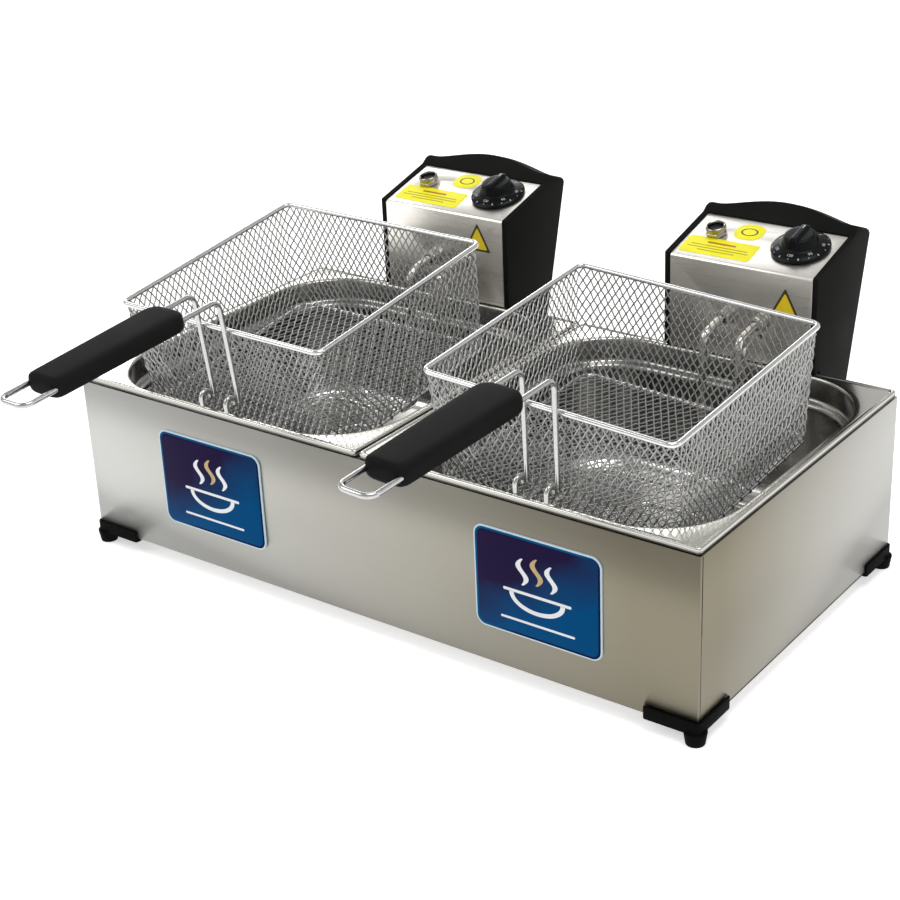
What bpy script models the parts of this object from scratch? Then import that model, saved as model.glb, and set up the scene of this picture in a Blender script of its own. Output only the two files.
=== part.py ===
"""Twin countertop deep fryer: two drop-in pans, two lift-off control heads and two wire baskets.

Everything is laid out in the housing's own frame: x to the right, y to the back, z up, with
z = 0 at the housing's bottom edge. One root empty then stands the fryer on its feet, with the
centre of its footprint at the world origin.
"""
import bmesh
import bpy
from math import atan2, cos, pi, radians, sin
from mathutils import Matrix, Vector

# ---- driving dimensions, metres ------------------------------------------------------------
GAP = 0.0003                    # clearance left between pieces that touch
SHEET = 0.0010                  # stainless sheet of the housing and the pans
FOOT_DROP = 0.0120              # how far the feet reach below the housing
FOOTPRINT_SHIFT = 0.0508        # moves the housing back so the whole footprint is centred

HOUSING_W = 0.5500
HOUSING_D = 0.2920
HOUSING_H = 0.1280
HOUSING_LIP_SIDE = 0.0060       # inward lips that carry the pans
HOUSING_LIP_FRONT = 0.0035
LIP_DROP = 0.0050               # turned-down edge of a pan's flange
FLANGE_TOP = HOUSING_H + GAP + LIP_DROP

PAN_CENTRE = 0.1380             # distance of each pan's centre from the middle
PAN_FLANGE_X = 0.1365           # half sizes of the flange and of the well's mouth
PAN_FLANGE_Y = 0.1455
PAN_MOUTH_X = 0.1280
PAN_MOUTH_Y = 0.1393
PAN_MOUTH_R = 0.0620
PAN_STEP = 0.0065               # the shoulder's inset and its depth below the flange
PAN_STEP_Z = 0.0200
PAN_FLOOR_Z = 0.0280

HEAD_OFFSET = {"left": 0.0064, "right": 0.0081}    # each head, right of its pan's centre
HEAD_FRONT = 0.1400             # y of the head's front face
HEAD_SHELL_X = 0.0645           # half width of the black shell
HEAD_STEEL_X = 0.0600           # half width of the steel cover
HEAD_SHELL_WALL = 0.0030
SHELL_BACK_TOP = (0.2265, 0.2200)   # y and z along the leaning rear wall
SHELL_BACK_LOW = (0.1955, 0.1000)
SHOULDER_FALL = radians(21)     # how steeply the shell's shoulders fall to the back
COVER_SHEET = 0.0012
PANEL_FRONT_Z = 0.2083          # the sloped control panel's front and rear edges
PANEL_BACK_Y = 0.1990
PANEL_BACK_Z = 0.2238
DIAL_X = 0.0330                 # dial and reset button, from the head's middle
RESET_X = -0.0387
PANEL_CONTROL_Y = 0.1744

HEATER_R = 0.00325
HEATER_X = 0.0040               # middle of the two heater legs, from the head's middle
HEATER_LEG = 0.0145             # half distance between the legs
HEATER_EXIT_Z = 0.1665
HEATER_LEG_Y = 0.1055
HEATER_LOOP_Z = 0.0460
CAPILLARY_Y = 0.1150
CAPILLARY_Z = 0.1550

BASKET_W = 0.1976               # rim, measured between wire centres
BASKET_D = 0.1925
BASKET_H = 0.0887
BASKET_TAPER = 0.0020
RIM_WIRE_R = 0.0020
BASE_WIRE_R = 0.00125
HANDLE_WIRE_R = 0.0020
HOOK_TO_RIM = 0.0606            # height of the rim above the resting hooks
HOOK_TO_FRONT = 0.0177          # rim's front wire, behind the hook tips
LEG_X = 0.0125                  # half distance between the handle's two wires
ARM_TOP = 0.0870
ARM_RISE = radians(2.9)
GRIP_Y = (-0.1450, -0.0210)
LOOP_Y = -0.1708
HOOK_Y = -0.1440
BASKETS = {                     # hook position across, then pitch, roll and yaw as it was set down
    "left": (-0.1350, radians(7.6), radians(0.0), radians(-1.1)),
    "right": (0.1470, radians(5.2), radians(2.4), radians(-1.1)),
}

BADGE_X = 0.1480
BADGE_OFFSET = 0.0042           # both badges sit a little to the right
BADGE_SIZE = (0.1025, 0.0785)
BADGE_Z = 0.0675
BADGE_T = 0.0015

STEEL = ((0.62, 0.61, 0.58), 0.32, 1.0)
CHROME = ((0.80, 0.80, 0.80), 0.15, 1.0)
BLACK = ((0.020, 0.020, 0.021), 0.50, 0.0)
BLUE = ((0.02, 0.07, 0.22), 0.35, 0.0)
CERAMIC = ((0.75, 0.72, 0.65), 0.60, 0.0)

SLOPE = atan2(PANEL_BACK_Z - PANEL_FRONT_Z, PANEL_BACK_Y - HEAD_FRONT)
AXES_XZ = Matrix(((1, 0, 0), (0, 0, -1), (0, 1, 0))).to_4x4()    # plan XY laid into XZ, facing -Y
AXES_YZ = Matrix(((0, 0, 1), (1, 0, 0), (0, 1, 0))).to_4x4()     # plan XY laid into YZ, facing +X


# ---- helpers -------------------------------------------------------------------------------
def clear_scene():
    for item in list(bpy.data.objects):
        bpy.data.objects.remove(item, do_unlink=True)
    for group in list(bpy.data.collections):
        bpy.data.collections.remove(group)


def collection(name):
    group = bpy.data.collections.new(name)
    bpy.context.scene.collection.children.link(group)
    return group


def material(name, look):
    colour, roughness, metallic = look
    surface = bpy.data.materials.new(name)
    surface.use_nodes = True
    shader = surface.node_tree.nodes["Principled BSDF"]
    shader.inputs["Base Color"].default_value = (*colour, 1)
    shader.inputs["Roughness"].default_value = roughness
    shader.inputs["Metallic"].default_value = metallic
    return surface


def add(name, data, look=None, parent=None, matrix=None):
    """Adds one named piece, or a cutter when it has no look."""
    item = bpy.data.objects.new(name, data)
    item.parent = parent
    if matrix is not None:
        item.matrix_local = matrix
    if look is None:
        CUTTERS.objects.link(item)
        item.hide_render = True
        item.display_type = 'WIRE'
    else:
        PARTS.objects.link(item)
        data.materials.append(material(name, look))
    return item


def empty(name, parent=None, matrix=None):
    item = bpy.data.objects.new(name, None)
    item.parent = parent
    if matrix is not None:
        item.matrix_local = matrix
    PARTS.objects.link(item)
    return item


def mesh_of(bm, name, smooth=None):
    bmesh.ops.recalc_face_normals(bm, faces=bm.faces)
    mesh = bpy.data.meshes.new(name)
    bm.to_mesh(mesh)
    bm.free()
    if smooth:
        mesh.shade_smooth()
        mesh.set_sharp_from_angle(angle=radians(smooth))
    return mesh


def box(name, low, high, look=None, parent=None, matrix=None):
    bm = bmesh.new()
    bmesh.ops.create_cube(bm, size=1)
    low, high = Vector(low), Vector(high)
    bmesh.ops.transform(bm, verts=bm.verts,
                        matrix=Matrix.LocRotScale((low + high) / 2, None, high - low))
    return add(name, mesh_of(bm, name), look, parent, matrix)


def rod(name, start, end, radius, look=None, parent=None, end_radius=None, sides=20):
    """A cylinder or cone from start to end."""
    start, end = Vector(start), Vector(end)
    bm = bmesh.new()
    bmesh.ops.create_cone(bm, cap_ends=True, segments=sides, radius1=radius,
                          radius2=radius if end_radius is None else end_radius,
                          depth=(end - start).length)
    turn = (end - start).to_track_quat('Z', 'Y')
    bmesh.ops.transform(bm, verts=bm.verts,
                        matrix=Matrix.LocRotScale((start + end) / 2, turn, None))
    return add(name, mesh_of(bm, name, 40), look, parent)


def prism(name, outline, low, high, axes=None, look=None, parent=None):
    """A flat outline made thick between two heights of its own plane."""
    curve = bpy.data.curves.new(name, 'CURVE')
    curve.dimensions = '2D'
    curve.fill_mode = 'BOTH'
    curve.extrude = (high - low) / 2
    spline = curve.splines.new('POLY')
    spline.points.add(len(outline) - 1)
    for point, (u, v) in zip(spline.points, outline):
        point.co = (u, v, 0, 1)
    spline.use_cyclic_u = True
    holder = bpy.data.objects.new(name, curve)
    CUTTERS.objects.link(holder)
    graph = bpy.context.evaluated_depsgraph_get()
    flat = bpy.data.meshes.new_from_object(holder.evaluated_get(graph))
    bpy.data.objects.remove(holder)
    bm = bmesh.new()
    bm.from_mesh(flat)
    bmesh.ops.remove_doubles(bm, verts=bm.verts, dist=1e-6)
    lift = Matrix.Translation((0, 0, (low + high) / 2))
    bmesh.ops.transform(bm, verts=bm.verts, matrix=(axes or Matrix()) @ lift)
    return add(name, mesh_of(bm, name), look, parent)


def turned(name, profile, look=None, parent=None, sides=24):
    """A piece turned about its own z axis from (radius, height) points, top to bottom."""
    mesh = bpy.data.meshes.new(name)
    mesh.from_pydata([(r, 0, z) for r, z in profile],
                     [(i, i + 1) for i in range(len(profile) - 1)], [])
    item = add(name, mesh, look, parent)
    screw = item.modifiers.new("Turn", 'SCREW')
    screw.steps = sides
    screw.render_steps = sides
    screw.use_merge_vertices = True
    screw.merge_threshold = 1e-5
    screw.use_smooth_shade = False
    return item


def tube(name, points, radius, look, parent=None, closed=False, sides=8, scales=None):
    """A round wire or pipe along its points, with filled ends."""
    curve = bpy.data.curves.new(name, 'CURVE')
    curve.dimensions = '3D'
    curve.bevel_depth = radius
    curve.bevel_resolution = (sides - 4) // 2
    curve.use_fill_caps = True
    spline = curve.splines.new('POLY')
    spline.points.add(len(points) - 1)
    for i, (point, place) in enumerate(zip(spline.points, points)):
        point.co = (*place, 1)
        point.radius = scales[i] if scales else 1
    spline.use_cyclic_u = closed
    spline.use_smooth = True
    return add(name, curve, look, parent)


def cut(item, cutter, operation='DIFFERENCE'):
    step = item.modifiers.new(cutter.name, 'BOOLEAN')
    step.operation = operation
    step.solver = 'EXACT'
    step.object = cutter


def bevel(item, width, segments=2):
    step = item.modifiers.new("Edges", 'BEVEL')
    step.width = width
    step.segments = segments
    step.limit_method = 'ANGLE'


def solidify(item, thickness, offset=-1):
    step = item.modifiers.new("Sheet", 'SOLIDIFY')
    step.thickness = thickness
    step.offset = offset
    step.use_even_offset = True


def rounded_path(corners, radius, steps=3, closed=False):
    """Follows straight runs between corners, with an arc of the given radius at each corner."""
    corners = [Vector(c) for c in corners]
    count = len(corners)
    path = []
    for i, corner in enumerate(corners):
        if not closed and i in (0, count - 1):
            path.append(corner)
            continue
        back = (corners[i - 1] - corner).normalized()
        ahead = (corners[(i + 1) % count] - corner).normalized()
        half = back.angle(ahead) / 2
        r = radius[i] if isinstance(radius, (list, tuple)) else radius
        reach = r / max(abs(sin(half) / cos(half)), 1e-6)
        centre = corner + (back + ahead).normalized() * (r / sin(half))
        first = corner + back * reach - centre
        last = corner + ahead * reach - centre
        normal = first.cross(last).normalized()
        sweep = first.angle(last)
        for k in range(steps + 1):
            path.append(centre + Matrix.Rotation(sweep * k / steps, 3, normal) @ first)
    return path


def rounded_ring(half_x, half_y, radius, z, steps=5, centre=(0, 0)):
    """Points of one rounded rectangle, anticlockwise seen from above."""
    points = []
    for quarter in range(4):
        sx = 1 if quarter in (0, 3) else -1
        sy = 1 if quarter in (0, 1) else -1
        for k in range(steps + 1):
            angle = pi / 2 * (quarter + k / steps)
            points.append(Vector((centre[0] + sx * (half_x - radius) + radius * cos(angle),
                                  centre[1] + sy * (half_y - radius) + radius * sin(angle), z)))
    return points


def pressed_sheet(name, rings, thickness, look, parent=None, outer=False):
    """A sheet pressed through a stack of rings and closed by a flat floor on the last one.

    The rings lie on the sheet's inner face, or on its outer face when outer is set.
    """
    bm = bmesh.new()
    rows = [[bm.verts.new(point) for point in ring] for ring in rings]
    for upper, lower in zip(rows, rows[1:]):
        for k in range(len(upper)):
            after = (k + 1) % len(upper)
            bm.faces.new((upper[k], lower[k], lower[after], upper[after]))
    bm.faces.new(reversed(rows[-1]))
    bm.normal_update()
    mesh = bpy.data.meshes.new(name)
    bm.to_mesh(mesh)
    bm.free()
    if not outer:
        mesh.flip_normals()
    mesh.shade_smooth()
    mesh.set_sharp_from_angle(angle=radians(35))
    item = add(name, mesh, look, parent)
    solidify(item, thickness)
    return item


# ---- housing -------------------------------------------------------------------------------
def build_housing(root):
    x, y = HOUSING_W / 2, HOUSING_D / 2
    shell = box("housing_shell", (-x, -y, 0), (x, y, HOUSING_H), STEEL, root)
    inside = box("cut_housing_inside", (SHEET - x, SHEET - y, -0.01),
                 (x - SHEET, y + 0.01, HOUSING_H - SHEET), parent=root)
    mouth = box("cut_housing_mouth",
                (HOUSING_LIP_SIDE + SHEET - x, HOUSING_LIP_FRONT + SHEET - y, 0.1),
                (x - HOUSING_LIP_SIDE - SHEET, y + 0.01, 0.2), parent=root)
    cut(shell, inside)
    cut(shell, mouth)

    panel_x = x - SHEET - GAP
    lip = 0.0045
    top = HOUSING_H - SHEET - GAP
    prism("back_panel", [(y, 0), (y, top), (y - lip, top), (y - lip, top - SHEET),
                         (y - SHEET, top - SHEET), (y - SHEET, 0)],
          -panel_x, panel_x, AXES_YZ, STEEL, root)

    rail_x, rail_y = 0.0065, y - lip - GAP
    rail_top, rail_bottom = top, 0.1060
    prism("centre_rail",
          [(-rail_x, rail_bottom), (SHEET - rail_x, rail_bottom),
           (SHEET - rail_x, rail_top - SHEET), (rail_x - SHEET, rail_top - SHEET),
           (rail_x - SHEET, rail_bottom), (rail_x, rail_bottom),
           (rail_x, rail_top), (-rail_x, rail_top)], -rail_y, rail_y, AXES_XZ, STEEL, root)
    build_base_plate(root, panel_x, rail_y)


def build_base_plate(root, half_x, half_y):
    plate = box("base_plate", (-half_x, -half_y, GAP), (half_x, half_y, GAP + SHEET), STEEL, root)
    slot_length, slot_width, pitch, rows = 0.045, 0.004, 0.014, 5
    for side in (-1, 1):
        for k in range(rows):
            y = (k - (rows - 1) / 2) * pitch
            middle = side * PAN_CENTRE
            slot = box(f"cut_vent_{side}_{k}", (middle - slot_length / 2, y - slot_width / 2, -0.01),
                       (middle + slot_length / 2, y + slot_width / 2, 0.01), parent=root)
            cut(plate, slot)


def build_foot(name, root, side, end):
    """A clip that wraps one bottom corner of the housing, with a stub foot under it."""
    x, y = side * HOUSING_W / 2, end * HOUSING_D / 2
    arm, wall, inward, top, floor = 0.041, 0.0020, 0.010, 0.0060, -0.0034
    outline = rounded_path([(side * wall, end * wall, 0), (-side * arm, end * wall, 0),
                            (-side * arm, -end * inward, 0), (-side * inward, -end * inward, 0),
                            (-side * inward, -end * arm, 0), (side * wall, -end * arm, 0)],
                           (0.003, 0.002, 0.002, 0.001, 0.002, 0.002), 2, True)
    foot = prism(name, [(x + p.x, y + p.y) for p in outline], floor, top, None, BLACK, root)
    room = box(f"cut_{name}", (x - side * 0.06 if side > 0 else x - GAP,
                               y - 0.06 if end > 0 else y - GAP, -GAP),
               (x + GAP if side > 0 else x + 0.06, y + GAP if end > 0 else y + 0.06, 0.02),
               parent=root)
    cut(foot, room)
    centre_x, centre_y = x - side * 0.0035, y - end * 0.0035
    stub = rod(f"join_{name}", (centre_x, centre_y, floor + 0.0010),
               (centre_x, centre_y, -FOOT_DROP), 0.0082, None, root, 0.0067, 20)
    cut(foot, stub, 'UNION')


def build_badge(name, root, middle):
    half_x, half_z = BADGE_SIZE[0] / 2, BADGE_SIZE[1] / 2
    outline = [(middle + p.x, BADGE_Z + p.y) for p in rounded_ring(half_x, half_z, 0.008, 0, 4)]
    front = HOUSING_D / 2 + GAP
    prism(name, outline, front, front + BADGE_T, AXES_XZ, BLUE, root)


# ---- pans ----------------------------------------------------------------------------------
def build_tank(side, sign, root):
    lip, edge = FLANGE_TOP - LIP_DROP, 0.0008
    mouth = (PAN_MOUTH_X, PAN_MOUTH_Y, PAN_MOUTH_R)
    stack = [
        (PAN_FLANGE_X, PAN_FLANGE_Y, 0.0030, lip),
        (PAN_FLANGE_X, PAN_FLANGE_Y, 0.0030, FLANGE_TOP - edge),
        (PAN_FLANGE_X - edge, PAN_FLANGE_Y - edge, 0.0025, FLANGE_TOP),
        (*(m + 0.0022 for m in mouth), FLANGE_TOP),
        (*(m + 0.0007 for m in mouth), FLANGE_TOP - 0.0007),
        (*mouth, FLANGE_TOP - 0.0022),
        (*mouth, FLANGE_TOP - PAN_STEP_Z),
        (*(m - PAN_STEP for m in mouth), FLANGE_TOP - PAN_STEP_Z - 0.0022),
        (*(m - PAN_STEP - 0.0008 for m in mouth), FLANGE_TOP - PAN_STEP_Z - 0.0055),
        (*(m - PAN_STEP - 0.0020 for m in mouth), PAN_FLOOR_Z + 0.0120),
        (*(m - PAN_STEP - 0.0055 for m in mouth), PAN_FLOOR_Z + 0.0035),
        (*(m - PAN_STEP - 0.0140 for m in mouth), PAN_FLOOR_Z),
    ]
    centre = (sign * PAN_CENTRE, 0)
    rings = [rounded_ring(hx, hy, r, z, 5, centre) for hx, hy, r, z in stack]
    pressed_sheet(f"tank_{side}", rings, SHEET, STEEL, root)


# ---- control heads -------------------------------------------------------------------------
def panel_height(y):
    return PANEL_FRONT_Z + (y - HEAD_FRONT) * (PANEL_BACK_Z - PANEL_FRONT_Z) / (PANEL_BACK_Y - HEAD_FRONT)


def build_crest_keeper(side, head):
    """What the shell keeps: flat shoulders with an arch between them, sloping down rearwards."""
    reach, rise, steps, edge = 0.0534, 0.0088, 10, HEAD_SHELL_X
    arch = []
    for k in range(-steps, steps + 1):
        arch.append((reach * k / steps, rise * (1 - (k / steps) ** 2) ** 1.5))
    corner = [(edge + 0.01, -0.25), (edge + 0.01, -0.0040), (edge, -0.0033),
              (edge - 0.0010, -0.0010), (edge - 0.0033, 0)]
    mirrored = [(-u, v) for u, v in reversed(corner)]
    keeper = prism(f"keep_arch_{side}", corner + arch[::-1] + mirrored, -0.15, 0.15, AXES_XZ,
                   None, head)
    shoulder = Matrix.Translation((0, 0.2060, 0.2310))
    keeper.matrix_local = shoulder @ Matrix.Rotation(-SHOULDER_FALL, 4, 'X')
    return keeper


def build_head_shell(side, head):
    """One black moulding: both cheeks, the back and an arched crest behind the panel."""
    low, crest = SHELL_BACK_LOW[1], 0.2400
    lift = 0.0008                # the cheeks stand just proud of the steel
    outline = [(HEAD_FRONT, FLANGE_TOP + GAP), (HEAD_FRONT, PANEL_FRONT_Z + lift),
               (PANEL_BACK_Y, PANEL_BACK_Z + lift), (0.2196, crest),
               (SHELL_BACK_TOP[0], crest), SHELL_BACK_TOP, SHELL_BACK_LOW,
               (0.1500, low), (0.1500, FLANGE_TOP + GAP)]
    shell = prism(f"head_back_shell_{side}", outline, -HEAD_SHELL_X, HEAD_SHELL_X, AXES_YZ,
                  BLACK, head)
    cut(shell, build_crest_keeper(side, head), 'INTERSECT')
    wall = HEAD_SHELL_WALL
    hollow = [(HEAD_FRONT + wall, 0.08), (HEAD_FRONT + wall, PANEL_FRONT_Z - wall),
              (0.2020, 0.2212), (0.2145, 0.2212), (0.2212, 0.2168), (0.1872, 0.0800)]
    cut(shell, prism(f"cut_shell_hollow_{side}", hollow, wall - HEAD_SHELL_X, HEAD_SHELL_X - wall,
                     AXES_YZ, None, head))
    window = HEAD_STEEL_X + GAP
    cut(shell, box(f"cut_shell_window_{side}", (-window, 0.12, 0.05),
                   (window, PANEL_BACK_Y + GAP, 0.26), parent=head))
    return shell


def build_head_cover(side, head, panel):
    """Bent stainless sheet: the upright front and the sloped control panel."""
    t = COVER_SHEET
    bottom = FLANGE_TOP + 2 * GAP
    outline = [(HEAD_FRONT, bottom), (HEAD_FRONT, PANEL_FRONT_Z - 0.0012),
               (HEAD_FRONT + 0.0012, panel_height(HEAD_FRONT + 0.0012)),
               (PANEL_BACK_Y, PANEL_BACK_Z), (PANEL_BACK_Y, PANEL_BACK_Z - t),
               (HEAD_FRONT + t + 0.0006, panel_height(HEAD_FRONT + t) - t),
               (HEAD_FRONT + t, PANEL_FRONT_Z - t - 0.0020), (HEAD_FRONT + t, bottom)]
    cover = prism(f"head_cover_{side}", outline, -HEAD_STEEL_X, HEAD_STEEL_X, AXES_YZ, STEEL, head)
    for label, x in (("a", -HEATER_LEG), ("b", HEATER_LEG)):
        cut(cover, rod(f"cut_heater_{label}_{side}", (HEATER_X + x, 0.130, HEATER_EXIT_Z),
                       (HEATER_X + x, 0.150, HEATER_EXIT_Z), HEATER_R + 0.0006, None, head))
    cut(cover, rod(f"cut_capillary_{side}", (HEATER_X + HEATER_LEG, 0.130, CAPILLARY_Z),
                   (HEATER_X + HEATER_LEG, 0.150, CAPILLARY_Z), 0.0018, None, head, None, 12))
    cut(cover, rod(f"cut_dial_{side}", (DIAL_X, 0, -0.006), (DIAL_X, 0, 0.006), 0.0045, None, panel))
    cut(cover, rod(f"cut_reset_{side}", (RESET_X, 0, -0.006), (RESET_X, 0, 0.006), 0.0056, None,
                   panel))


def build_head_inside(side, head, panel):
    """The floor plate, the bracket behind the housing and the electrical parts."""
    floor = FLANGE_TOP + 2 * GAP
    box(f"head_base_plate_{side}", (-0.0592, HEAD_FRONT + COVER_SHEET + GAP, floor),
        (0.0592, 0.2000, floor + COVER_SHEET), STEEL, head)
    hang = HOUSING_D / 2 + 0.0015
    top = floor - GAP
    prism(f"head_hook_bracket_{side}",
          [(hang, 0.1050), (hang, top), (hang + 0.0180, top), (hang + 0.0180, top - COVER_SHEET),
           (hang + COVER_SHEET, top - COVER_SHEET), (hang + COVER_SHEET, 0.1050)],
          -0.045, 0.045, AXES_YZ, STEEL, head)
    shelf = floor + COVER_SHEET + GAP
    block = box(f"terminal_block_{side}", (-0.0240, 0.1640, shelf), (0.0160, 0.1790, shelf + 0.0130),
                CERAMIC, head)
    bevel(block, 0.0010, 1)
    under = -COVER_SHEET - GAP
    body = box(f"thermostat_body_{side}", (DIAL_X - 0.0165, -0.0165, under - 0.0240),
               (DIAL_X + 0.0165, 0.0165, under), CERAMIC, panel)
    bevel(body, 0.0015, 1)
    rod(f"limit_thermostat_{side}", (RESET_X, 0, -0.0270), (RESET_X, 0, -0.0075), 0.0090, CERAMIC,
        panel)


def build_cable_gland(side, head, shell):
    """The cord's inlet through the back of the shell, square to the leaning rear wall."""
    lean = atan2(SHELL_BACK_TOP[0] - SHELL_BACK_LOW[0], SHELL_BACK_TOP[1] - SHELL_BACK_LOW[1])
    height = 0.1200
    wall_y = SHELL_BACK_LOW[0] + (height - SHELL_BACK_LOW[1]) * sin(lean) / cos(lean)
    seat = empty(f"gland_seat_{side}", head, Matrix.Translation((-0.0380, wall_y, height))
                 @ Matrix.Rotation(-pi / 2 - lean, 4, 'X'))
    turned(f"cable_gland_{side}",
           [(0, 0.0050), (0.0035, 0.0050), (0.0035, 0.0100), (0.0055, 0.0100), (0.0075, 0.0060),
            (0.0075, 0.0045), (0.0095, 0.0045), (0.0095, GAP), (0.0058, GAP), (0.0058, -0.0080),
            (0, -0.0080)], BLACK, seat, 18)
    cut(shell, rod(f"cut_gland_{side}", (0, 0, -0.010), (0, 0, 0.010), 0.0063, None, seat))


def build_dial(side, panel):
    pivot = empty(f"dial_axis_{side}", panel, Matrix.Translation((DIAL_X, 0, 0)))
    knob = turned(f"thermostat_knob_{side}",
                  [(0, 0.0130), (0.0105, 0.0130), (0.0120, 0.0117), (0.0140, 0.0050),
                   (0.0200, 0.0042), (0.0228, 0.0026), (0.0228, 0.0006), (0, 0.0006)],
                  BLACK, pivot, 32)
    ridge = box(f"join_dial_ridge_{side}", (-0.0034, -0.0118, 0.0040), (0.0034, 0.0118, 0.0150),
                parent=pivot)
    bevel(ridge, 0.0015, 1)
    cut(knob, ridge, 'UNION')
    cut(knob, rod(f"cut_dial_bore_{side}", (0, 0, -0.002), (0, 0, 0.0095), 0.0033, None, pivot, None,
                  16))
    rod(f"thermostat_shaft_{side}", (0, 0, -COVER_SHEET + 0.0002), (0, 0, 0.0092), 0.0030, STEEL,
        pivot, None, 16)


def build_reset(side, panel):
    axis = empty(f"reset_axis_{side}", panel, Matrix.Translation((RESET_X, 0, 0)))
    bezel = turned(f"reset_bezel_{side}",
                   [(0, 0.0078), (0.0064, 0.0078), (0.0072, 0.0070), (0.0072, 0.0045), (0, 0.0045)],
                   CHROME, axis, 24)
    cut(bezel, rod(f"join_reset_hex_{side}", (0, 0, GAP), (0, 0, 0.0050), 0.0090, None, axis, None,
                   6), 'UNION')
    cut(bezel, rod(f"cut_reset_bore_{side}", (0, 0, -0.002), (0, 0, 0.010), 0.0052, None, axis))
    turned(f"reset_button_{side}",
           [(0, 0.0066), (0.0040, 0.0066), (0.0048, 0.0058), (0.0048, -0.0045), (0, -0.0045)],
           BLACK, axis, 20)


def build_heater(side, head):
    """One steel-clad element: out of the head, down the rear wall and around the floor."""
    leg, back, far, near = HEATER_LEG, 0.0760, 0.0850, 0.0300
    half = [(leg, 0.1560, HEATER_EXIT_Z), (leg, 0.1270, HEATER_EXIT_Z),
            (leg, HEATER_LEG_Y, HEATER_EXIT_Z - 0.0040), (leg, HEATER_LEG_Y, HEATER_LOOP_Z),
            (leg, back, HEATER_LOOP_Z), (far, back, HEATER_LOOP_Z), (far, -0.1000, HEATER_LOOP_Z),
            (near, -0.1000, HEATER_LOOP_Z), (near, 0.0420, HEATER_LOOP_Z)]
    corners = [(HEATER_X - x, y, z) for x, y, z in half]
    corners += [(HEATER_X + x, y, z) for x, y, z in reversed(half)]
    radii = [0.010, 0.010, 0.008, 0.010, 0.012, 0.014, 0.014, 0.014, 0.014]
    path = rounded_path(corners, radii + radii[::-1], 3)
    tube(f"heater_element_{side}", path, HEATER_R, STEEL, head)
    for label, x in (("a", HEATER_X - leg), ("b", HEATER_X + leg)):
        front = HEAD_FRONT - GAP
        nut = rod(f"heater_nut_{label}_{side}", (x, front - 0.0080, HEATER_EXIT_Z),
                  (x, front, HEATER_EXIT_Z), 0.0072, STEEL, head, None, 6)
        cut(nut, rod(f"cut_nut_{label}_{side}", (x, front - 0.02, HEATER_EXIT_Z),
                     (x, front + 0.01, HEATER_EXIT_Z), HEATER_R + GAP, None, head, None, 16))


def build_bulb(side, head):
    """The thermostat's capillary and its sensing bulb, clipped to the second heater leg."""
    x = HEATER_X + HEATER_LEG
    thin, thick = 0.0011, 0.0031
    corners = [(x, 0.1500, CAPILLARY_Z), (x, CAPILLARY_Y, CAPILLARY_Z), (x, CAPILLARY_Y, 0.1010)]
    line = rounded_path(corners, 0.007, 4)
    shape = [1] * len(line)
    for height, size in ((0.0990, thick), (0.0970, thick), (0.0570, thick), (0.0545, thin)):
        line.append(Vector((x, CAPILLARY_Y, height)))
        shape.append(size / thin)
    tube(f"thermostat_bulb_{side}", line, thin, STEEL, head, scales=shape)
    clip = box(f"bulb_clip_{side}", (x - 0.0062, HEATER_LEG_Y - 0.0058, 0.0730),
               (x + 0.0062, CAPILLARY_Y + 0.0054, 0.0790), STEEL, head)
    for label, y, r in (("leg", HEATER_LEG_Y, HEATER_R), ("bulb", CAPILLARY_Y, thick)):
        cut(clip, rod(f"cut_clip_{label}_{side}", (x, y, 0.060), (x, y, 0.090), r + GAP, None, head,
                      None, 16))


def build_head(side, sign, root):
    head = empty(f"head_origin_{side}", root,
                 Matrix.Translation((sign * PAN_CENTRE + HEAD_OFFSET[side], 0, 0)))
    panel = empty(f"panel_origin_{side}", head,
                  Matrix.Translation((0, PANEL_CONTROL_Y, panel_height(PANEL_CONTROL_Y)))
                  @ Matrix.Rotation(SLOPE, 4, 'X'))
    shell = build_head_shell(side, head)
    build_head_cover(side, head, panel)
    build_head_inside(side, head, panel)
    build_cable_gland(side, head, shell)
    build_dial(side, panel)
    build_reset(side, panel)
    build_heater(side, head)
    build_bulb(side, head)


# ---- baskets -------------------------------------------------------------------------------
def build_basket_body(side, hook):
    centre = (0, HOOK_TO_FRONT + BASKET_D / 2)
    x, y, t = BASKET_W / 2, BASKET_D / 2, BASKET_TAPER
    rim = rounded_ring(x, y, 0.0060, HOOK_TO_RIM, 3, centre)
    tube(f"basket_top_wire_{side}", rim, RIM_WIRE_R, CHROME, hook, True)
    bottom = HOOK_TO_RIM - BASKET_H
    floor = bottom + BASE_WIRE_R + GAP
    rings = [rounded_ring(x, y, 0.0060, HOOK_TO_RIM - RIM_WIRE_R - GAP, 3, centre),
             rounded_ring(x - t, y - t, 0.0140, floor + 0.0030, 3, centre),
             rounded_ring(x - t - 0.0030, y - t - 0.0030, 0.0110, floor, 3, centre)]
    pressed_sheet(f"basket_mesh_{side}", rings, 0.0012, CHROME, hook, outer=True)
    base = rounded_ring(x - t - 0.0020, y - t - 0.0020, 0.0120, bottom, 3, centre)
    tube(f"basket_bottom_wire_{side}", base, BASE_WIRE_R, CHROME, hook, True, 6)


def arm_height(y):
    return ARM_TOP + (HOOK_TO_FRONT - y) * sin(ARM_RISE) / cos(ARM_RISE)


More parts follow.
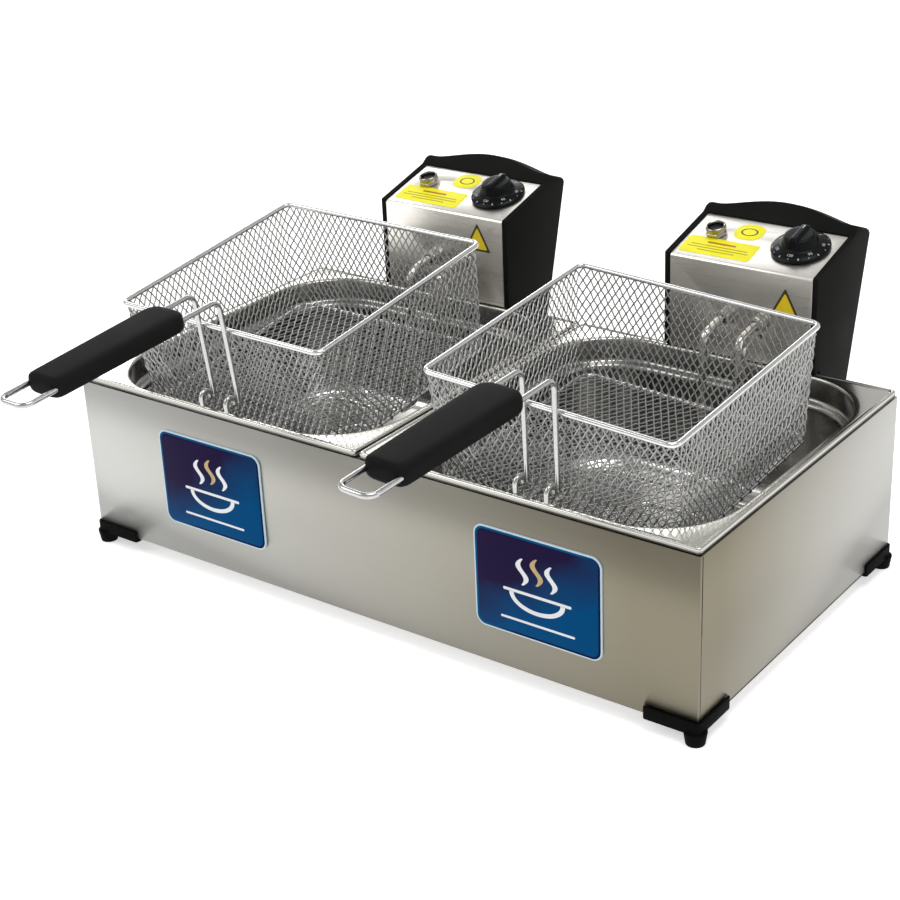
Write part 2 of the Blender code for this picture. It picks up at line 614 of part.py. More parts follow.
def build_basket_handle(side, hook):
    """One wire: hook, leg, arm and loop, then back the same way on the other side."""
    leg_y = HOOK_TO_FRONT - RIM_WIRE_R - HANDLE_WIRE_R - GAP
    curl_y, curl_top, curl_low = 0.0092, 0.0108, 0.0024
    half = [(LEG_X, 0, GAP), (LEG_X, 0, curl_top), (LEG_X, curl_y, curl_top),
            (LEG_X, curl_y, curl_low), (LEG_X, leg_y, curl_low),
            (LEG_X, leg_y, arm_height(leg_y)), (LEG_X, LOOP_Y, arm_height(LOOP_Y))]
    corners = half + [(-x, y, z) for x, y, z in reversed(half)]
    radii = [0.001, 0.0045, 0.0045, 0.0020, 0.0020, 0.0080, 0.0070]
    path = rounded_path(corners, radii + radii[::-1], 4)
    tube(f"basket_handle_wire_{side}", path, HANDLE_WIRE_R, CHROME, hook)
    build_grip(side, hook)


def build_grip(side, hook):
    """A flat moulded grip, a little wider at the basket's end, with a bore for each wire."""
    back, front = GRIP_Y[1], GRIP_Y[0]
    middle = (back + front) / 2
    seat = Matrix.Translation((0, middle, arm_height(middle))) @ Matrix.Rotation(-ARM_RISE, 4, 'X')
    length = (back - front) / cos(ARM_RISE)
    half = [(-0.0165, -length / 2), (0.0165, -length / 2), (0.0190, length / 2),
            (-0.0190, length / 2)]
    outline = rounded_path([(u, v, 0) for u, v in half], (0.006, 0.006, 0.010, 0.010), 3, True)
    grip = prism(f"basket_grip_{side}", [(p.x, p.y) for p in outline], -0.0075, 0.0075, None, BLACK,
                 hook)
    grip.matrix_local = seat
    bevel(grip, 0.0045, 2)
    for label, x in (("a", -LEG_X), ("b", LEG_X)):
        bore = rod(f"cut_grip_{label}_{side}", (x, -0.1, 0), (x, 0.1, 0), HANDLE_WIRE_R + GAP,
                   None, hook, None, 12)
        bore.matrix_local = seat
        cut(grip, bore)


def build_basket(side, root):
    across, pitch, roll, yaw = BASKETS[side]
    rest = FLANGE_TOP + GAP + LEG_X * abs(sin(roll)) + 0.0003
    place = (Matrix.Translation((across, HOOK_Y, rest)) @ Matrix.Rotation(yaw, 4, 'Z')
             @ Matrix.Rotation(pitch, 4, 'X') @ Matrix.Rotation(roll, 4, 'Y'))
    hook = empty(f"basket_hook_{side}", root, place)
    build_basket_body(side, hook)
    build_basket_handle(side, hook)


# ---- assembly ------------------------------------------------------------------------------
def build_fryer():
    root = empty("fryer_origin", None, Matrix.Translation((0, FOOTPRINT_SHIFT, FOOT_DROP)))
    build_housing(root)
    for side, sign in (("left", -1), ("right", 1)):
        build_foot(f"foot_front_{side}", root, sign, -1)
        build_foot(f"foot_back_{side}", root, sign, 1)
        build_badge(f"badge_{side}", root, sign * BADGE_X + BADGE_OFFSET)
        build_tank(side, sign, root)
        build_head(side, sign, root)
        build_basket(side, root)


clear_scene()
PARTS = collection("deep_fryer")
CUTTERS = collection("cutters")
build_fryer()
bpy.context.view_layer.update()
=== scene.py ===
"""Looks of the twin countertop deep fryer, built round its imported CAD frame.

Lengths are metres. Pieces are laid out from ORIGIN, the middle of the housing's bottom, so
local z = 0 is the housing's bottom edge and local y = 0 the middle of its depth.
"""

import bmesh
import bpy
from math import atan2, ceil, cos, pi, radians, sin, tan
from mathutils import Matrix, Vector


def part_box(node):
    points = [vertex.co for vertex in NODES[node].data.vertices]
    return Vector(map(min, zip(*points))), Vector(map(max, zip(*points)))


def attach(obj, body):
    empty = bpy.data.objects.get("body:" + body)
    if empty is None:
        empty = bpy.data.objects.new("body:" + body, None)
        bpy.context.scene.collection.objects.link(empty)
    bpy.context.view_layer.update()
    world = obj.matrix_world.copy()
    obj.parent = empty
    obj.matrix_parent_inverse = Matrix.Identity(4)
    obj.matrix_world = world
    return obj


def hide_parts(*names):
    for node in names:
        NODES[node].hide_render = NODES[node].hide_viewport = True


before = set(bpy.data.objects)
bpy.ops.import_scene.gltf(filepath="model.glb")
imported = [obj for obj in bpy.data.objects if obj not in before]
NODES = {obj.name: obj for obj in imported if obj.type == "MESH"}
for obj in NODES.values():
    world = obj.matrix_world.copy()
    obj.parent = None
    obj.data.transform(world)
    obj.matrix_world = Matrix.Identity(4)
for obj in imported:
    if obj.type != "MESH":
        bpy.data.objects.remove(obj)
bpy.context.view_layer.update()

# ---- where things are ----
_low, _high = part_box("housing_shell")
ORIGIN = Vector(((_low.x + _high.x) / 2, (_low.y + _high.y) / 2, _low.z))
HOUSING_FRONT = _low.y - ORIGIN.y
HOUSING_HALF_X = _high.x - ORIGIN.x
SHEET = 0.0010  # steel of the housing and of the pans
FLANGE_TOP = 0.1333
PAN_CENTRE = 0.1380
PAN_FLANGE = (0.1365, 0.1455)  # half width and half depth
PAN_MOUTH = (0.1280, 0.1393, 0.0620)  # the same, and the corners' radius
PAN_STEP_Z = 0.0200  # from the flange down to the shoulder
PAN_FLOOR_Z = 0.0280

HEAD_OFFSET = {"left": 0.0064, "right": 0.0081}  # to the right of the pan's middle
HEAD_FRONT = 0.1400
PANEL_FRONT_Z = 0.2083
PANEL_BACK = (0.1990, 0.2238)  # y and z
SLOPE = atan2(PANEL_BACK[1] - PANEL_FRONT_Z, PANEL_BACK[0] - HEAD_FRONT)
PANEL_Y = 0.1744  # where the dial's and the button's middles lie
DIAL_X = 0.0330
RESET_X = -0.0387
HEATER_R = 0.00325
HEATER_X = 0.0040
HEATER_LEG = 0.0145  # half the distance between the two legs
HEATER_EXIT_Z = 0.1665
HEATER_LEG_Y = 0.1055
HEATER_LOOP_Z = 0.0460
CAPILLARY_Y = 0.1150
CAPILLARY_Z = 0.1550

BASKET_W = 0.1976
BASKET_D = 0.1925
BASKET_H = 0.0887
BASKET_TAPER = 0.0020
BASE_INSET = 0.0020  # from the tapered wall in to the bottom wire
RIM_CORNER_R = 0.0060
BASE_CORNER_R = 0.0120
RIM_WIRE_R = 0.0020
BASE_WIRE_R = 0.00125
HANDLE_WIRE_R = 0.0020
HOOK_TO_RIM = 0.0606
HOOK_TO_FRONT = 0.0177
LEG_X = 0.0125
ARM_TOP = 0.0870
ARM_RISE = radians(2.9)
GRIP_Y = (-0.1450, -0.0210)
LOOP_Y = -0.1708
HOOK_Y = -0.1440
HANG_GAP = 0.0003  # between the hooks and the flange they hang on
BASKETS = {  # x of the hooks, then pitch, roll and yaw
    "left": (-0.1350, radians(7.6), radians(0.0), radians(-1.1)),
    "right": (0.1470, radians(5.2), radians(2.4), radians(-1.1)),
}
MESH_WIDE = 0.0064  # one diamond of the basket's wire mesh
MESH_TALL = 0.0098
MESH_WIRE_R = 0.00058
MESH_SIDES = 5
WIRE_SIDES = 14
WEAVE = MESH_WIRE_R * 0.8  # how far a woven wire sways from the mesh's middle

BADGE_X = 0.1480
BADGE_OFFSET = 0.0042
BADGE_SIZE = (0.1025, 0.0785)
BADGE_GAP = 0.0003  # between the badge's back and the housing's front
BADGE_Z = 0.0675

# stickers: block middle and half width, oval x and y, triangle x and top, from the head's middle
LABELS = {
    "left": (-0.0240, 0.0318, -0.0068, 0.1858, 0.0350, 0.2030),
    "right": (-0.0272, 0.0302, -0.0148, 0.1832, 0.0384, 0.1975),
}

PLACE = Matrix.Translation(ORIGIN)
SIDES = (("left", -1), ("right", 1))
SAME_POINT = 1e-6  # points closer than this are one


# ---- materials ----
class Shade:
    """A Principled material with a short way to add and link nodes."""

    def __init__(self, name, colour, roughness, metallic=0.0, **extra):
        self.material = bpy.data.materials.new(name)
        self.material.use_nodes = True
        self.tree = self.material.node_tree
        self.bsdf = self.tree.nodes["Principled BSDF"]
        self.fill(self.bsdf, Base_Color=(*colour, 1), Roughness=roughness, Metallic=metallic,
                  **extra)
        self.colour = colour
        self.place = self.add("ShaderNodeTexCoord").outputs["Object"]

    def add(self, kind, **values):
        node = self.tree.nodes.new(kind)
        for name, value in values.items():
            setattr(node, name, value)
        return node

    @staticmethod
    def fill(node, **values):
        """Sets a node's sockets, named with _ for a space."""
        for name, value in values.items():
            node.inputs[name.replace("_", " ")].default_value = value

    def link(self, source, target):
        self.tree.links.new(source, target)

    def noise(self, scale, detail, rough, stretch=None):
        """Noise with cells of 1 / scale metres, stretched along an axis if asked."""
        mapping = self.add("ShaderNodeMapping")
        self.fill(mapping, Scale=stretch or (1, 1, 1))
        self.link(self.place, mapping.inputs["Vector"])
        node = self.add("ShaderNodeTexNoise")
        self.fill(node, Scale=scale, Detail=detail, Roughness=rough)
        self.link(mapping.outputs["Vector"], node.inputs["Vector"])
        return node.outputs["Fac"]

    def ranged(self, source, low, high, from_low=0.3, from_high=0.7):
        """Maps a source, by default a noise, from its range to another."""
        node = self.add("ShaderNodeMapRange")
        self.fill(node, From_Min=from_low, From_Max=from_high, To_Min=low, To_Max=high)
        self.link(source, node.inputs["Value"])
        return node.outputs["Result"]

    def mixed(self, factor, first, second):
        """Mixes two colours, each a value or an output, by an output."""
        node = self.add("ShaderNodeMix", data_type='RGBA')
        for socket, value in ((0, factor), (6, first), (7, second)):
            if hasattr(value, "is_output"):
                self.link(value, node.inputs[socket])
            else:
                node.inputs[socket].default_value = (*value, 1)
        return node.outputs[2]

    def along(self, direction):
        """How far a point lies along a direction, in the object's own space."""
        node = self.add("ShaderNodeVectorMath", operation='DOT_PRODUCT')
        self.link(self.place, node.inputs[0])
        node.inputs[1].default_value = direction
        return node.outputs["Value"]

    def bump(self, source, distance, strength=1.0):
        node = self.add("ShaderNodeBump")
        self.fill(node, Distance=distance, Strength=strength)
        self.link(source, node.inputs["Height"])
        self.link(node.outputs["Normal"], self.bsdf.inputs["Normal"])

    def vary(self, source, amount):
        """Colour goes from darker to lighter with the source."""
        dark = tuple(c * (1 - amount) for c in self.colour)
        light = tuple(min(1, c * (1 + amount)) for c in self.colour)
        colour = self.mixed(self.ranged(source, 0, 1), dark, light)
        self.link(colour, self.bsdf.inputs["Base Color"])
        return colour

    def rough_between(self, source, low, high):
        self.link(self.ranged(source, low, high), self.bsdf.inputs["Roughness"])


def brushed(name, colour, roughness, along, grain=0.05, relief=0.000006, cloud=0.03,
            painted_light_bands=()):
    """Stainless sheet with fine grain lines along one axis and a slight cloudiness.

    A painted light band is (direction, first, last, colour): the sheet's colour turns to that
    colour as the distance along the direction goes from first to last; it paints light or shade.
    """
    shade = Shade(name, colour, roughness, 1.0)
    stretch = tuple(0.004 if axis == along else 1 for axis in "xyz")
    lines = shade.noise(3200, 1.0, 0.5, stretch)
    soft = shade.noise(9, 3.0, 0.5)
    base = shade.vary(soft, cloud)
    # each band paints light or shade into the sheet's colour
    for direction, first, last, other in painted_light_bands:
        share = shade.ranged(shade.along(direction), 0.0, 1.0, first, last)
        base = shade.mixed(share, base, other)
    streak = shade.ranged(lines, 1 - grain, 1.0)
    multiply = shade.add("ShaderNodeVectorMath", operation='SCALE')
    shade.link(base, multiply.inputs[0])
    shade.link(streak, multiply.inputs["Scale"])
    shade.link(multiply.outputs["Vector"], shade.bsdf.inputs["Base Color"])
    shade.rough_between(lines, roughness - 0.03, roughness + 0.04)
    shade.bump(lines, relief)
    return shade.material


def plated(name, colour, roughness):
    """Bright plated or drawn wire with faint drawing marks."""
    shade = Shade(name, colour, roughness, 1.0)
    marks = shade.noise(420, 3.0, 0.6)
    shade.vary(marks, 0.08)
    shade.rough_between(marks, roughness - 0.05, roughness + 0.09)
    shade.bump(marks, 0.00002)
    return shade.material


def moulded(name, colour, roughness, cell=1500, relief=0.00005, **extra):
    """Moulded plastic or rubber with a fine even grain."""
    shade = Shade(name, colour, roughness, 0.0, **extra)
    grain = shade.noise(cell, 2.0, 0.5)
    worn = shade.noise(26, 3.0, 0.5)
    shade.vary(worn, 0.16)
    shade.rough_between(worn, roughness - 0.05, roughness + 0.07)
    shade.bump(grain, relief, 0.6)
    return shade.material


def ceramic(name, colour):
    shade = Shade(name, colour, 0.6)
    speck = shade.noise(700, 3.0, 0.6)
    shade.vary(speck, 0.07)
    shade.bump(speck, 0.00003)
    return shade.material


def printed(name, colour, roughness):
    """Printed foil: an even colour with a faint mottle and a soft ripple."""
    shade = Shade(name, colour, roughness)
    mottle = shade.noise(160, 2.0, 0.5)
    shade.vary(mottle, 0.035)
    shade.rough_between(mottle, roughness - 0.05, roughness + 0.06)
    shade.bump(shade.noise(70, 2.0, 0.5), 0.00004)
    return shade.material


UPWARD = (0, 0, 1)
# The painted shade on the housing's steel grows along this way, towards its front right corner.
PAINTED_SHADE_WAY = (0.62, -1.0, 0.0)  # towards the housing's front right corner
PAINTED_SHADE_REACH = PAINTED_SHADE_WAY[0] * (ORIGIN.x + HOUSING_HALF_X) - (ORIGIN.y + HOUSING_FRONT)
RIM_HEIGHT = ORIGIN.z + FLANGE_TOP
FLOOR_HEIGHT = ORIGIN.z + PAN_FLOOR_Z
# Painted shade: the housing's steel is painted darker and warmer towards its front right corner.
STEEL_FRONT = brushed("steel_housing", (0.52, 0.52, 0.50), 0.33, "x", 0.04, 0.000006, 0.02,
                      [(PAINTED_SHADE_WAY, PAINTED_SHADE_REACH - 0.33, PAINTED_SHADE_REACH - 0.03,
                        (0.240, 0.217, 0.160))])
# Painted light on the pan's steel: the floor is painted bright as a painted highlight, and the
# flange's top is painted lighter than the walls below it.
STEEL_PAN = brushed("steel_pan", (0.86, 0.855, 0.84), 0.20, "x", 0.03, 0.000004, 0.05,
                    [(UPWARD, FLOOR_HEIGHT + 0.0010, FLOOR_HEIGHT + 0.0150, (0.36, 0.355, 0.34)),
                     (UPWARD, RIM_HEIGHT - 0.0022, RIM_HEIGHT - 0.0012, (0.66, 0.645, 0.59))])
STEEL_HEAD = brushed("steel_head", (0.90, 0.865, 0.80), 0.30, "x", 0.025, 0.000004, 0.06)
STEEL_INSIDE = brushed("steel_inside", (0.45, 0.44, 0.42), 0.42, "y")
STEEL_PART = plated("steel_turned", (0.55, 0.54, 0.51), 0.28)
HEATER = plated("heater_sheath", (0.72, 0.70, 0.65), 0.20)
CHROME = plated("basket_wire", (0.74, 0.74, 0.73), 0.17)
HANDLE_CHROME = plated("handle_wire", (0.56, 0.56, 0.55), 0.17)
MESH_CHROME = plated("mesh_wire", (0.45, 0.45, 0.44), 0.36)
BEZEL = plated("bezel_chrome", (0.36, 0.34, 0.30), 0.16)
DULL_BLACK = {"Specular_IOR_Level": 0.02}
SHELL_BLACK = moulded("shell_black", (0.0105, 0.0105, 0.0098), 0.55, 1300, 0.00006,
                      **DULL_BLACK)
GRIP_BLACK = moulded("grip_black", (0.0105, 0.0110, 0.0105), 0.48, 1800, 0.00004, **DULL_BLACK)
FOOT_BLACK = moulded("foot_black", (0.0055, 0.0050, 0.0050), 0.55, 1100, 0.00006, **DULL_BLACK)
DIAL_BLACK = moulded("dial_black", (0.0035, 0.0040, 0.0045), 0.30, 2200, 0.00001,
                     Specular_IOR_Level=0.12)
DIAL_MARK = printed("dial_mark", (0.48, 0.50, 0.50), 0.5)
LABEL_YELLOW = printed("label_yellow", (0.93, 0.86, 0.010), 0.55)
LABEL_AMBER = printed("label_amber", (0.86, 0.62, 0.008), 0.55)
LABEL_DARK = printed("label_print_dark", (0.05, 0.04, 0.01), 0.5)
LABEL_OLIVE = printed("label_print_olive", (0.33, 0.28, 0.01), 0.5)
LABEL_RED = printed("label_print_red", (0.50, 0.17, 0.02), 0.5)
# Painted shadow for the folds down the front corners and under the housing's sides.
SEAM_SHADOW = moulded("seam_shadow", (0.020, 0.018, 0.014), 0.6, **DULL_BLACK)
CERAMIC = ceramic("control_ceramic", (0.75, 0.72, 0.65))
BADGE_RIM = printed("badge_border", (0.50, 0.62, 0.68), 0.35)
BADGE_WHITE = printed("badge_print_white", (0.72, 0.74, 0.76), 0.4)
BADGE_GOLD = printed("badge_print_gold", (0.46, 0.33, 0.13), 0.4)


# ---- mesh helpers ----
def add_object(name, data):
    item = bpy.data.objects.new(name, data)
    bpy.context.scene.collection.objects.link(item)
    return item


def piece(name, made, body, material, replaces=(), smooth=35, matrix=None):
    """Adds a Build, laid out from ORIGIN, as a piece that rides on a body."""
    mesh = bpy.data.meshes.new(name)
    mesh.from_pydata([tuple(v) for v in made.verts], [], made.faces)
    bm = bmesh.new()
    bm.from_mesh(mesh)
    bmesh.ops.remove_doubles(bm, verts=bm.verts, dist=1e-7)
    bmesh.ops.recalc_face_normals(bm, faces=bm.faces)
    bm.to_mesh(mesh)
    bm.free()
    mesh.transform(PLACE @ (matrix or Matrix()))
    mesh.shade_smooth()
    mesh.set_sharp_from_angle(angle=radians(smooth))
    mesh.materials.append(material)
    item = add_object(name, mesh)
    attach(item, body)
    if replaces:
        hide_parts(*replaces)
    return item


class Build:
    """Collects vertices and faces of several forms into one piece."""

    def __init__(self):
        self.verts = []
        self.faces = []

    def rings(self, rings, caps=(True, True), looped=False):
        """Joins a stack of rings of equal count, capped at its ends or joined in a loop."""
        base, count = len(self.verts), len(rings[0])
        for ring in rings:
            self.verts += ring
        for i in range(len(rings) if looped else len(rings) - 1):
            a = base + i * count
            b = base + (i + 1) % len(rings) * count
            for k in range(count):
                n = (k + 1) % count
                self.faces.append((a + k, a + n, b + n, b + k))
        if not looped:
            if caps[0]:
                self.faces.append(tuple(base + k for k in reversed(range(count))))
            if caps[1]:
                top = base + (len(rings) - 1) * count
                self.faces.append(tuple(top + k for k in range(count)))

    def tube(self, path, radius, sides, closed=False, scales=None, domed=0.0):
        """A round wire along a path, with frames carried along it without twist."""
        count = len(path)
        tangents = []
        for i in range(count):
            before = path[i - 1] if closed or i else path[0]
            after = path[(i + 1) % count] if closed or i < count - 1 else path[-1]
            tangents.append((after - before).normalized())
        sides_at = [tangents[0].orthogonal().normalized()]
        for i in range(1, count):
            turn = tangents[i - 1].rotation_difference(tangents[i])
            sides_at.append((turn @ sides_at[-1]).normalized())
        twist = 0.0
        if closed:
            back = tangents[-1].rotation_difference(tangents[0]) @ sides_at[-1]
            cross = sides_at[0].cross(back).dot(tangents[0])
            twist = atan2(cross, sides_at[0].dot(back))
        rings = []
        for i, point in enumerate(path):
            u = Matrix.Rotation(-twist * i / count, 3, tangents[i]) @ sides_at[i]
            v = tangents[i].cross(u)
            r = radius * (scales[i] if scales else 1)
            rings.append([point + u * (r * cos(2 * pi * k / sides))
                          + v * (r * sin(2 * pi * k / sides)) for k in range(sides)])
        if domed and not closed:
            rings = self.dome(path[0], -tangents[0], rings[0], radius, domed)[::-1] + rings
            rings += self.dome(path[-1], tangents[-1], rings[-1], radius, domed)
        self.rings(rings, looped=closed)

    @staticmethod
    def dome(centre, out, ring, radius, depth):
        """Shrinking rings that round off a wire's end."""
        return [[centre + (p - centre) * cos(a) + out * (radius * depth * sin(a)) for p in ring]
                for a in (0.5, 0.95, 1.3)]

    def block(self, low, high, matrix=None):
        """A box between two corners."""
        matrix = matrix or Matrix()
        around = ((low[0], low[1]), (high[0], low[1]), (high[0], high[1]), (low[0], high[1]))
        self.rings([[matrix @ Vector((x, y, z)) for x, y in around] for z in (low[2], high[2])])

    def plate(self, outline, low, high, edge=0.0):
        """A flat outline made thick in z, with a small rounded upper edge if asked."""
        centre = sum(outline, Vector((0, 0))) / len(outline)
        stack = [(0.0, low), (0.0, high)]
        if edge:
            stack = [(0.0, low), (0.0, high - edge), (edge * 0.3, high - edge * 0.3), (edge, high)]
        rings = []
        for inset, z in stack:
            ring = []
            for p in outline:
                toward = centre - p
                q = p + toward.normalized() * inset if toward.length else p
                ring.append(Vector((q.x, q.y, z)))
            rings.append(ring)
        self.rings(rings)


def lifted(flat, z):
    """Flat points as 3-D ones at a height."""
    return [Vector((p.x, p.y, z)) for p in flat]


def bulged(value, power):
    """A sine or cosine that leaves zero faster as the power falls below 1, sign kept."""
    return abs(value) ** power * (1 if value >= 0 else -1)


def rounded_ring(half_x, half_y, radius, steps, centre=(0, 0)):
    """Points of a rounded rectangle, anticlockwise, as 2-D vectors."""
    points = []
    for quarter, (sx, sy) in enumerate(((1, 1), (-1, 1), (-1, -1), (1, -1))):
        for k in range(steps + 1):
            angle = pi / 2 * (quarter + k / steps)
            points.append(Vector((centre[0] + sx * (half_x - radius) + radius * cos(angle),
                                  centre[1] + sy * (half_y - radius) + radius * sin(angle))))
    return points


def rounded_path(corners, radii, steps):
    """Straight runs between corners, with an arc at each inner corner."""
    corners = [Vector(c) for c in corners]
    path = []
    for i, corner in enumerate(corners):
        if i in (0, len(corners) - 1):
            path.append(corner)
            continue
        back = (corners[i - 1] - corner).normalized()
        ahead = (corners[i + 1] - corner).normalized()
        half = back.angle(ahead) / 2
        r = radii[i - 1]
        reach = r / tan(half)
        centre = corner + (back + ahead).normalized() * (r / sin(half))
        first = corner + back * reach - centre
        last = corner + ahead * reach - centre
        normal = first.cross(last).normalized()
        sweep = first.angle(last)
        for k in range(steps + 1):
            path.append(centre + Matrix.Rotation(sweep * k / steps, 3, normal) @ first)
    return path


def finish_node(name, material, edge=0.0, segments=2, angle=30):
    """Gives a CAD node its material and softens its sharp edges."""
    item = NODES[name]
    item.data.materials.clear()
    item.data.materials.append(material)
    weld = item.modifiers.new("Weld", 'WELD')
    weld.merge_threshold = SAME_POINT
    if edge:
        step = item.modifiers.new("Edges", 'BEVEL')
        step.width = edge
        step.segments = segments
        step.limit_method = 'ANGLE'
        step.angle_limit = radians(angle)
    item.data.shade_smooth()
    item.data.set_sharp_from_angle(angle=radians(angle))


# ---- housing ----
SEAM_PROUD = 0.00005  # out of the sheet
SEAM_Y = 0.0026  # behind the housing's front
SEAM_DEEP = 0.0002
SKIRT_DEEP = 0.0004
SEAMS = ((0.00095, 0.070, 0.1275), (0.00055, 0.004, 0.070))  # width, lower and upper end
SKIRT_INSET = 0.006  # where the line under a side ends short of the corners
SKIRT_Z = (-0.0003, 0.0006)


def build_seam_shadows():
    """Painted shadow: thin dark strips down the front corners where the sheets fold, and a dark
    line under each side.
    """
    shadow_strips = Build()
    start = HOUSING_FRONT + SEAM_Y
    for _, sign in SIDES:
        x = sign * (HOUSING_HALF_X + SEAM_PROUD)
        fold, line = (sorted((x - sign * deep, x)) for deep in (SEAM_DEEP, SKIRT_DEEP))
        for wide, low, high in SEAMS:
            shadow_strips.block((fold[0], start, low), (fold[1], start + wide, high))
        shadow_strips.block((line[0], HOUSING_FRONT + SKIRT_INSET, SKIRT_Z[0]),
                    (line[1], -HOUSING_FRONT - SKIRT_INSET, SKIRT_Z[1]))
    piece("housing_seam_shadows", shadow_strips, "housing", SEAM_SHADOW)


def build_housing():
    build_seam_shadows()
    finish_node("housing_shell", STEEL_FRONT, 0.0004)
    finish_node("back_panel", STEEL_FRONT, 0.0003)
    finish_node("base_plate", STEEL_INSIDE)
    finish_node("centre_rail", STEEL_FRONT, 0.0002)
    for side, _ in SIDES:
        for end in ("front", "back"):
            finish_node(f"foot_{end}_{side}", FOOT_BLACK, 0.0007, 2, 35)


# ---- pans ----
# The pan's outline from its outer edge to its floor, as (offset, height) points. FLANGE_EDGE
# goes inwards from the flange's edge; the others are offsets from the mouth's outline. Heights
# are from the flange's top, from the shoulder and, for the last, from the floor.
FLANGE_EDGE = ((0.0, -0.0043), (0.0, -0.0014), (0.00015, -0.0007), (0.0006, -0.0002),
               (0.0013, 0.0), (0.0021, -0.00015), (0.0027, -0.00055), (0.0031, -0.00095),
               (0.0036, -0.0010), (0.0044, -0.0009))
MOUTH_BEND = ((0.0024, -0.0010), (0.0013, -0.0014), (0.0005, -0.0022), (0.0, -0.0034))
STEP_BEND = ((0.0, 0.0020), (-0.0005, 0.0006), (-0.0016, -0.0004), (-0.0045, -0.0010),
             (-0.0058, -0.0017), (-0.0066, -0.0032), (-0.0070, -0.0060))
FLOOR_BEND = ((-0.0086, 0.0120), (-0.0094, 0.0080), (-0.0112, 0.0040), (-0.0145, 0.0013),
              (-0.0190, 0.0), (-0.0480, 0.0))
FLANGE_CORNER_R = 0.0032
FLANGE_DISH = (0.0040, 0.0020)  # where the flange's flat ends, and how much rounder it is there
FLOOR_CORNER_R = 0.012  # the least radius of any corner inside


def build_tank(side, sign):
    """Deep-drawn pan: rolled flange edge, shoulder, wall and flat floor."""
    fx, fy = PAN_FLANGE
    mx, my, mr = PAN_MOUTH
    stack = [(fx - i, fy - i, FLANGE_CORNER_R, FLANGE_TOP + z) for i, z in FLANGE_EDGE]
    out, rounder = FLANGE_DISH
    stack.append((mx + out, my + out, mr + rounder, FLANGE_TOP + FLANGE_EDGE[-1][1]))
    inside = [(out, FLANGE_TOP + z) for out, z in MOUTH_BEND]
    inside += [(out, FLANGE_TOP + (z - PAN_STEP_Z)) for out, z in STEP_BEND]
    inside += [(out, PAN_FLOOR_Z + z) for out, z in FLOOR_BEND]
    stack += [(mx + out, my + out, max(mr + out, FLOOR_CORNER_R), z) for out, z in inside]
    made = Build()
    made.rings([lifted(rounded_ring(hx, hy, r, 14, (sign * PAN_CENTRE, 0)), z)
                for hx, hy, r, z in stack], caps=(False, True))
    item = piece(f"pan_{side}", made, f"tank_{side}", STEEL_PAN, [f"tank_{side}"],
                 50)
    step = item.modifiers.new("Sheet", 'SOLIDIFY')
    step.thickness = SHEET * 0.9
    step.offset = -1


# ---- baskets ----
def ring_walk(half_x, half_y, radius):
    """A function from 0..1 round a rounded rectangle to a point and its outward normal."""
    ix, iy = half_x - radius, half_y - radius
    arc = pi / 2 * radius
    runs = [2 * iy, arc, 2 * ix, arc] * 2
    total = sum(runs)
    outs = [Vector(way) for way in ((1, 0), (0, 1), (-1, 0), (0, -1))]
    corners = [Vector(c) for c in ((ix, iy), (-ix, iy), (-ix, -iy), (ix, -iy))]

    def at(fraction):
        s = (fraction % 1.0) * total
        for k, run in enumerate(runs):
            if s <= run or k == len(runs) - 1:
                break
            s -= run
        quarter = k // 2
        out, along = outs[quarter], outs[(quarter + 1) % 4]
        if k % 2 == 0:
            return corners[quarter - 1] + along * s + out * radius, out
        direction = out * cos(s / radius) + along * sin(s / radius)
        return corners[quarter] + direction * radius, direction
    return at


def inside_ring(x, y, half_x, half_y, radius):
    """Whether a point lies inside a rounded rectangle."""
    dx, dy = abs(x) - (half_x - radius), abs(y) - (half_y - radius)
    if dx <= 0 or dy <= 0:
        return abs(x) <= half_x and abs(y) <= half_y
    return dx * dx + dy * dy <= radius * radius


BASKET_MIDDLE = HOOK_TO_FRONT + BASKET_D / 2  # y, from the hooks
BASE_Z = HOOK_TO_RIM - BASKET_H  # height of the bottom wire
WALL_TOP = HOOK_TO_RIM - RIM_WIRE_R * 0.6
WALL_FOOT = BASE_Z + BASE_WIRE_R + 0.0030  # from here the wires turn in
WALL_INSET = 0.0006
TAIL_INSET = 0.0022
TAIL_DROP = 0.0026
TAIL_TURN = 0.4  # rows' worth of slant left for the tail
FLOOR_INSET = 0.0030
CORNER_WIDENS = 0.0070  # how much rounder the walls' corners get on the way down
CORNER_SAVING = 0.0103  # the rounded corners make the way round this much shorter
FLOOR_STEPS = 8  # points per crossing where a floor wire is clipped


def basket_walk(inset, radius):
    """A walk round the basket, inset from its rim's outline."""
    return ring_walk(BASKET_W / 2 - inset, BASKET_D / 2 - inset, radius)


def weave_walls(made, count, rows):
    """Wires that spiral down the walls both ways and turn in at the foot."""
    levels = []
    for j in range(rows + 1):
        t = j / rows
        walk = basket_walk(BASKET_TAPER * t + WALL_INSET, RIM_CORNER_R + CORNER_WIDENS * t)
        levels.append((walk, WALL_TOP + (WALL_FOOT - WALL_TOP) * t))
    tail = basket_walk(BASKET_TAPER + TAIL_INSET, BASE_CORNER_R)
    for turn in (1, -1):
        for k in range(count):
            path = []
            for j, (walk, z) in enumerate(levels):
                point, out = walk((k + turn * j / 2) / count)
                point = point + out * (turn * (1 if j % 2 else -1) * WEAVE)
                path.append(Vector((point.x, point.y + BASKET_MIDDLE, z)))
            point, out = tail((k + turn * (rows + TAIL_TURN) / 2) / count)
            path.append(Vector((point.x, point.y + BASKET_MIDDLE, WALL_FOOT - TAIL_DROP)))
            made.tube(path, MESH_WIRE_R, MESH_SIDES)


